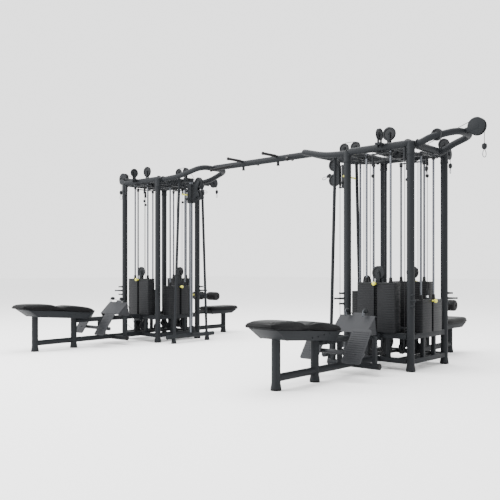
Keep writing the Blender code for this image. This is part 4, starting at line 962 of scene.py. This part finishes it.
def cushion_grid(outline, thick, base, across=34, along=110, roll=0.020):
    """Closed cushion over a plan: outline gives the half width, thick the crown and base the underside."""
    bm = bmesh.new()
    sheets = []
    for upper in (False, True):
        rows = []
        for j in range(along + 1):
            t = -1 + 2 * j / along
            row = []
            for i in range(across + 1):
                u = -1 + 2 * i / across
                x, y = outline(u, t)
                lift = thick(u, t) if upper else 0.0
                row.append(bm.verts.new((x, y, base(y) + lift)))
            rows.append(row)
        sheets.append(rows)
    for rows, flip in ((sheets[0], True), (sheets[1], False)):
        for one, two in zip(rows, rows[1:]):
            for i in range(across):
                face = (one[i], one[i + 1], two[i + 1], two[i])
                bm.faces.new(face[::-1] if flip else face)
    rim_low, rim_high = [sheet[0] + [row[-1] for row in sheet[1:]] + sheet[-1][-2::-1]
                         + [row[0] for row in sheet[-2:0:-1]] for sheet in sheets]
    count = len(rim_low)
    for k in range(count):
        bm.faces.new((rim_low[k], rim_low[(k + 1) % count], rim_high[(k + 1) % count], rim_high[k]))
    bmesh.ops.recalc_face_normals(bm, faces=bm.faces)
    return bm, [vert.co.copy() for vert in rim_low]


def puffed(bm, name, pressure, cap, pinned, cells=0.006):
    """Mesh of a bmesh remeshed to even cells, then blown up by cloth pressure and held to a small travel."""
    mesh = bpy.data.meshes.new(name)
    bm.to_mesh(mesh)
    bm.free()
    soft = bpy.data.objects.new(name, mesh)
    scene.collection.objects.link(soft)
    remesh = soft.modifiers.new("cells", "REMESH")
    remesh.mode = "VOXEL"
    remesh.voxel_size = cells
    rounder = soft.modifiers.new("rounder", "SMOOTH")
    rounder.iterations = 6
    rounder.factor = 0.5
    graph = bpy.context.evaluated_depsgraph_get()
    rest = bpy.data.meshes.new_from_object(soft.evaluated_get(graph))
    soft.modifiers.clear()
    soft.data = rest
    held = soft.vertex_groups.new(name="held")
    held.add([v.index for v in rest.vertices if pinned(v.co)], 1.0, "REPLACE")
    cloth = soft.modifiers.new("cover", "CLOTH")
    settings = cloth.settings
    settings.quality = 4
    settings.mass = 0.4
    settings.tension_stiffness = settings.compression_stiffness = 40
    settings.bending_stiffness = 4
    settings.vertex_group_mass = "held"
    settings.use_pressure = True
    settings.uniform_pressure_force = pressure
    settings.effector_weights.gravity = 0.0
    cloth.collision_settings.use_collision = False
    cloth.point_cache.frame_start, cloth.point_cache.frame_end = 1, 16
    for frame_number in range(1, 17):
        scene.frame_set(frame_number)
    graph = bpy.context.evaluated_depsgraph_get()
    result = bpy.data.meshes.new_from_object(soft.evaluated_get(graph))
    before = np.empty(len(rest.vertices) * 3)
    after = np.empty(len(rest.vertices) * 3)
    rest.vertices.foreach_get("co", before)
    result.vertices.foreach_get("co", after)
    travel = (after - before).reshape(-1, 3)
    length = np.linalg.norm(travel, axis=1, keepdims=True)
    travel *= np.minimum(1.0, cap / np.maximum(length, 1e-9))
    result.vertices.foreach_set("co", (before.reshape(-1, 3) + travel).ravel())
    scene.frame_set(1)
    bpy.data.objects.remove(soft)
    return result


def row_outline(u, t):
    waist = 1.0 - 0.20 * math.exp(-((t - 0.05) / 0.26) ** 2) - 0.16 * abs(t) ** 8
    reach = (ROW_REACH - PAD_NEAR) / 2 - 0.004
    bow = 1.0 - 0.035 * u * u * abs(t) ** 3
    return u * (PAD_HALF - 0.005) * waist, -(ROW_REACH + PAD_NEAR) / 2 + t * reach * bow


def row_thick(u, t):
    crown = PAD_THICK - 0.008 - 0.030 * abs(t) ** 3 - 0.024 * math.exp(-((t - 0.05) / 0.17) ** 2)
    edge = min(1.0, (1 - abs(u)) * 9.0, (1 - abs(t)) * 32.0)
    return crown * (0.62 + 0.38 * math.sqrt(max(0.0, 1 - (1 - edge) ** 2))) * (1.0 - 0.05 * u * u)


def sewn(name, rim, way, lift):
    """Piping sewn round a cushion, a little above its underside."""
    path = [Vector((co.x + math.copysign(0.0015, co.x) + way * TOWER_X, co.y,
                    co.z + lift)) for co in rim[::2]]
    piping = bmesh.new()
    pipe(piping, path, 0.0024, 8, closed=True)
    finished(name, piping, vinyl, "frame")


row_solid, row_rim = cushion_grid(row_outline, row_thick, lambda y: sloped(0.530, -y) + 0.002)
row_cover_mesh = puffed(row_solid, "row pad cover", 5.0, 0.006,
                        lambda co: co.z < sloped(0.530, -co.y) + 0.010)
for side, way in SIDES.items():
    skin = row_cover_mesh.copy()
    skin.transform(Matrix.Translation((way * TOWER_X, 0, 0)))
    pad = finished(f"{side}_row_pad_cover", skin, vinyl, "frame", [f"{side}_row_pad"], 60.0)
    sewn(f"{side}_row_pad_piping", row_rim, way, 0.018)

# Lat station: a short seat on a flared leg behind the tower, tied to it by a low rail. A mast carries two
# foam thigh rollers on an axle, and their sleeve slides up and down on it under a pop pin.
MAST_BACK = DEPTH + 0.345
LEG_BACK = DEPTH + 0.926
SEAT_NEAR = DEPTH + 0.500
SEAT_FAR = DEPTH + 1.147
ROLLER_BACK = DEPTH + 0.530
ROLLER_UP = 0.595

foam = coated("roller foam", (0.0085, 0.0085, 0.0090), 0.66, size=520.0, tone=0.2, depth=0.35)

for side, way in SIDES.items():
    stand = bmesh.new()
    shoe = bmesh.new()
    leg(stand, shoe, spot(side, 0, LEG_BACK, 0), 0.320)
    bar(stand, spot(side, 0, DEPTH + 0.0253, 0.103), spot(side, 0, LEG_BACK, 0.103), 0.033)
    bar(stand, spot(side, 0, MAST_BACK, 0.103), spot(side, 0, MAST_BACK, 0.756), 0.026, 0.002)
    slab(stand, spot(side, -0.020, MAST_BACK, 0.317), spot(side, 0.020, SEAT_NEAR + 0.12, 0.350), 0.003)
    points = [(SEAT_NEAR + 0.02, 0.369), (SEAT_NEAR + 0.05, 0.312), (SEAT_FAR - 0.17, 0.312),
              (SEAT_FAR - 0.05, 0.369)]
    folded(stand, side, points, 0.143, 0.004)
    finished(f"{side}_lat_stand", stand, charcoal, "frame", [f"{side}_lat_frame"])
    lathe(shoe, [(0, 0), (0.0275, 0), (0.0275, 0.010), (0.024, 0.014), (0, 0.015)],
          Matrix.Translation(spot(side, 0, MAST_BACK, 0.752)), 32)
    finished(f"{side}_lat_rubber", shoe, rubber, "frame")

    slide = bmesh.new()
    hub = spot(side, 0, MAST_BACK, ROLLER_UP)
    lathe(slide, [(0.0275, -0.054), (0.0385, -0.054), (0.0395, -0.052), (0.0395, 0.052), (0.0385, 0.054),
                  (0.0275, 0.054), (0.0275, -0.054)], Matrix.Translation(hub), 36)
    slab(slide, spot(side, -0.019, MAST_BACK + 0.035, ROLLER_UP - 0.019),
         spot(side, 0.019, ROLLER_BACK, ROLLER_UP + 0.019), 0.003)
    bar(slide, spot(side, -0.258, ROLLER_BACK, ROLLER_UP), spot(side, 0.258, ROLLER_BACK, ROLLER_UP),
        0.0125, 0.001, 24)
    finished(f"{side}_roller_slide", slide, charcoal, f"{side}_thigh_rollers",
             [f"{side}_thigh_rollers"])
    rolls = bmesh.new()
    for sign in (-1, 1):
        start, end = [spot(side, sign * out, ROLLER_BACK, ROLLER_UP) for out in (0.062, 0.260)]
        lathe(rolls, [(0, 0.002), (0.022, 0.002), (0.030, 0.0), (0.052, 0.002), (0.0605, 0.009),
                      (0.0635, 0.022), (0.0640, 0.050), (0.0640, 0.148), (0.0635, 0.176), (0.0605, 0.189),
                      (0.052, 0.196), (0.030, 0.198), (0.022, 0.196), (0, 0.196)], aimed(start, end), 48)
    roll = finished(f"{side}_roller_foam", rolls, foam, f"{side}_thigh_rollers", (), 60.0)
    pin = bmesh.new()
    start = hub + Vector((way * 0.038, 0, 0.018))
    lathe(pin, [(0, 0), (0.0105, 0), (0.0105, 0.012), (0.0065, 0.015), (0.0065, 0.024), (0.0150, 0.029),
                (0.0155, 0.044), (0.011, 0.050), (0, 0.051)], aimed(start, start + Vector((way, 0, 0))), 24)
    finished(f"{side}_roller_pop_pin", pin, yellow, f"{side}_thigh_rollers")


def seat_outline(u, t):
    narrow = 1.0 - 0.20 * abs(t) ** 5
    bow = 1.0 - 0.05 * u * u * abs(t) ** 3
    return u * 0.165 * narrow, (SEAT_FAR + SEAT_NEAR) / 2 + t * ((SEAT_FAR - SEAT_NEAR) / 2 - 0.004) * bow


def seat_thick(u, t):
    edge = min(1.0, (1 - abs(u)) * 9.0, (1 - abs(t)) * 22.0)
    return 0.050 * (0.62 + 0.38 * math.sqrt(max(0.0, 1 - (1 - edge) ** 2))) * (1.0 - 0.05 * u * u)


seat_solid, seat_rim = cushion_grid(seat_outline, seat_thick, lambda y: 0.3723, along=76)
seat_mesh = puffed(seat_solid, "lat seat cover", 5.0, 0.006, lambda co: co.z < 0.380)
for side, way in SIDES.items():
    skin = seat_mesh.copy()
    skin.transform(Matrix.Translation((way * TOWER_X, 0, 0)))
    seat = finished(f"{side}_lat_seat_cover", skin, vinyl, "frame", [f"{side}_lat_seat"],
                    60.0)
    sewn(f"{side}_lat_seat_piping", seat_rim, way, 0.014)

# Guide pulleys under and over the top ring: moulded wheels in folded steel brackets, which carry each
# cable from the lift below it out to its own station.
for side, way in SIDES.items():
    wheels = bmesh.new()
    brackets = bmesh.new()
    for out, back, up, axis, radius in ((-0.608, 0.300, 2.360, (0, 1, 0), 0.0575),
                                        (-0.462, 0.300, 2.360, (0, 1, 0), 0.0575),
                                        (0.044, 0.150, 2.410, (0, 1, 0), 0.0720),
                                        (0.044, 0.300, 2.235, (0, 1, 0), 0.0600),
                                        (0.059, -0.070, 2.370, (1, 0, 0), 0.0600),
                                        (0.11, 0.420, 2.330, (0, 1, 0), 0.0600),
                                        (-0.05, 0.620, 2.330, (1, 0, 0), 0.0600)):
        hub = spot(side, out, back, up)
        wheel(wheels, hub, axis, radius, 0.024, 40)
        below, above = min(0.0, RING_UP - up) - 0.012, max(0.0, RING_UP - up) + 0.018
        straps(brackets, hub, axis, 0.017, 0.0022, below, above, 0.0012, 0.023, 0.0085)
    for back in (0.150, 0.300, 0.420, 0.620):
        slab(brackets, spot(side, -0.125, back - 0.030, RING_UP + 0.010),
             spot(side, 0.125, back + 0.030, RING_UP + 0.024), 0.002)
    slab(brackets, spot(side, 0.029, -0.115, RING_UP + 0.012), spot(side, 0.089, -0.025, RING_UP + 0.034),
         0.002)
    for out in (-0.608, -0.462):
        slab(brackets, spot(side, out - 0.026, 0.276, RING_UP),
             spot(side, out + 0.026, MIDDLE + 0.012, RING_UP + 0.028), 0.002)
    finished(f"{side}_guide_wheels", wheels, nylon, "frame")
    finished(f"{side}_guide_brackets", brackets, charcoal, "frame")

# Cables: black nylon-coated steel rope, 6.4 mm, held by the machine. The runs over a lift stand on the frame
# from its pulley up to the ring, and the hoop under the pulley rides with the lift; the crossover cable
# passes through the swivel's hollow pivot, and the free ends have a moulded stopper and a chrome carabiner
# for a handle.
CABLE_RADIUS = 0.0032
cable_black = coated("nylon coated cable", (0.010, 0.010, 0.011), 0.36, size=900.0, tone=0.1, depth=0.05)


def carabiner(bm, top, turn=0.0, tall=0.062, wide=0.026, down=Vector((0, 0, -1))):
    """Snap hook of round wire, hanging from its top point."""
    top = Vector(top)
    down = down.normalized()
    side_way = down.cross(Vector((-math.sin(turn), math.cos(turn), 0))).normalized()
    path = []
    for k in range(28):
        angle = 2 * math.pi * k / 28
        x = math.cos(angle) * wide / 2 * (1.0 - 0.25 * math.sin(angle))
        z = math.sin(angle) * (tall / 2) - tall / 2
        path.append(top + side_way * x - down * z)
    pipe(bm, path, 0.0034, 10, closed=True)


def stopper(bm, top, down=Vector((0, 0, -1)), size=1.0):
    """Moulded cone that stops the cable's end against its pulley."""
    top = Vector(top)
    lathe(bm, [(0, 0), (0.007 * size, 0), (0.019 * size, 0.010), (0.0215 * size, 0.020),
               (0.0215 * size, 0.042), (0.016 * size, 0.056), (0.008 * size, 0.062),
               (0, 0.063)], aimed(top, top + down), 28)


for side, way in SIDES.items():
    fixed = bmesh.new()
    black = bmesh.new()
    hooks = bmesh.new()
    for kind, count in PLATE_COUNTS.items():
        place = station(side, kind)
        full = STACK_LOW + PLATE * count
        tops = [0.0] if kind == "end" else [-LIFT_PULLEY_RADIUS + 0.004, LIFT_PULLEY_RADIUS - 0.004]
        start = full + (0.106 if kind == "end" else LIFT_PULLEY_RISE)
        runs = bmesh.new()
        for x in tops:
            bar(runs, place @ Vector((x, 0, start)), place @ Vector((x, 0, RING_UP)), CABLE_RADIUS, 0.0001,
                10)
        run = finished(f"{side}_{kind}_lift_cable", runs, cable_black, "frame")
        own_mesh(run)
        if kind != "end":
            hoop = bmesh.new()
            arc = [place @ Vector((-math.cos(a) * (LIFT_PULLEY_RADIUS - 0.004), 0,
                                   start - math.sin(a) * (LIFT_PULLEY_RADIUS - 0.004)))
                   for a in (math.pi * k / 20 for k in range(21))]
            pipe(hoop, arc, CABLE_RADIUS, 10)
            finished(f"{side}_{kind}_lift_hoop", hoop, cable_black, f"{side}_{kind}_plates")

    over = [(-0.400, 0.300, 2.250), (-0.404, 0.300, 2.400), (-0.462, 0.300, 2.420), (-0.608, 0.300, 2.420),
            (-0.668, 0.300, 2.380), (SWIVEL_OUT, MIDDLE, 2.250), (SWIVEL_OUT, MIDDLE, 0.175)]
    pipe(fixed, curved([spot(side, *place) for place in over], 0.05, 8), CABLE_RADIUS, 10)
    wheel(black, spot(side, SWIVEL_OUT + 0.050, MIDDLE, 0.175), (0, 1, 0), 0.0500, 0.024, 36)
    end_path = [spot(side, out, MIDDLE, up) for out, up in
                ((HALF_WIDTH - 0.010, 2.252), (HALF_WIDTH - 0.004, 2.300), (END_PULLEY_OUT - 0.03, 2.477),
                 (END_PULLEY_OUT + 0.030, 2.477), (END_PULLEY_OUT + 0.0735, 2.430),
                 (END_PULLEY_OUT + 0.0735, 2.225))]
    pipe(fixed, curved(end_path, 0.035, 8), CABLE_RADIUS, 10)
    lathe(black, [(0, 0), (0.0150, 0.002), (0.0155, 0.006), (0.0155, 0.124), (0.0150, 0.130), (0, 0.131)],
          Matrix.Translation(spot(side, HALF_WIDTH - 0.055, -0.018, 2.085)), 24)
    bar(fixed, spot(side, HALF_WIDTH - 0.055, -0.018, 0.36), spot(side, HALF_WIDTH - 0.055, -0.018, 2.25),
        CABLE_RADIUS, 0.0001, 10)
    tip = spot(side, END_PULLEY_OUT + 0.0735, MIDDLE, 2.232)
    stopper(black, tip, size=1.15)
    carabiner(hooks, tip - Vector((0, 0, 0.062)), 0.8, 0.075, 0.034)
    for sign in (-1, 1):
        hub = spot(side, sign * 0.150, LAT_ARM_BACK + 0.068, LAT_ARM_UP)
        arc = [spot(side, sign * 0.150, DEPTH - 0.02, LAT_ARM_UP - 0.075),
               spot(side, sign * 0.150, LAT_ARM_BACK, LAT_ARM_UP + 0.066), hub + Vector((0, 0, 0.01)),
               hub - Vector((0, 0, 0.110))]
        pipe(fixed, curved(arc, 0.055, 8), CABLE_RADIUS, 10)
        stopper(black, hub - Vector((0, 0, 0.100)))
        carabiner(hooks, hub - Vector((0, 0, 0.158)), math.pi / 2)
        row_tip = spot(side, sign * 0.100, -0.391, 0.575)
        stopper(black, row_tip + Vector((0, 0.012, 0.028)), Vector((0, -0.75, 0.10)).normalized(), 1.0)
        carabiner(hooks, row_tip + Vector((0, -0.050, 0.038)), math.pi / 2, 0.060, 0.026)
        pipe(fixed, curved([row_tip + Vector((0, 0.012, 0.028)), spot(side, sign * 0.100, -0.330, 0.575),
                            spot(side, sign * 0.100, -0.200, 0.260), spot(side, sign * 0.100, 0.0, 0.115)],
                           0.05, 6), CABLE_RADIUS, 10)
    for out, back, up in ((-0.066, 0.010, 1.951), (-0.066, DEPTH - 0.010, 1.990), (0.357, MIDDLE, 1.951)):
        stop = Matrix.Translation(spot(side, out, back, up))
        lathe(black, [(0, 0), (0.008, 0.001), (0.0155, 0.007), (0.0190, 0.019), (0.0155, 0.031),
                      (0.008, 0.037), (0, 0.038)], stop, 24)
        lathe(black, [(0, 0.124), (0.0145, 0.125), (0.0150, 0.128), (0.0120, 0.214), (0, 0.216)], stop, 20)
    for out, back, up in ((0.584, 0.120, 2.325), (0.424, 0.615, 2.322)):
        wheel(black, spot(side, out, back, up), (0, 1, 0), 0.060, 0.026, 40)
    finished(f"{side}_fixed_cables", fixed, cable_black, "frame")
    finished(f"{side}_cable_stoppers", black, nylon, "frame")
    finished(f"{side}_carabiners", hooks, chrome, "frame", (), 60.0)

    swivel_black = bmesh.new()
    swivel_hook = bmesh.new()
    line = bmesh.new()
    low, high = [spot(side, SWIVEL_WHEEL_OUT + 0.068, MIDDLE, up) for up in SWIVEL_UPS[::-1]]
    bar(line, high, low, CABLE_RADIUS, 0.0001, 10)
    tip = spot(side, SWIVEL_WHEEL_OUT - 0.070, MIDDLE, 2.108)
    stopper(swivel_black, tip + Vector((way * 0.020, 0, -0.006)), Vector((-way, 0, -0.55)).normalized(),
            0.95)
    carabiner(swivel_hook, tip + Vector((-way * 0.034, 0, -0.034)), 0.0, 0.066, 0.028,
              Vector((-way, 0, -0.30)))
    finished(f"{side}_swivel_cable", line, cable_black, f"{side}_swivel")
    finished(f"{side}_swivel_stopper", swivel_black, nylon, f"{side}_swivel")
    finished(f"{side}_swivel_hook", swivel_hook, chrome, f"{side}_swivel", (), 60.0)
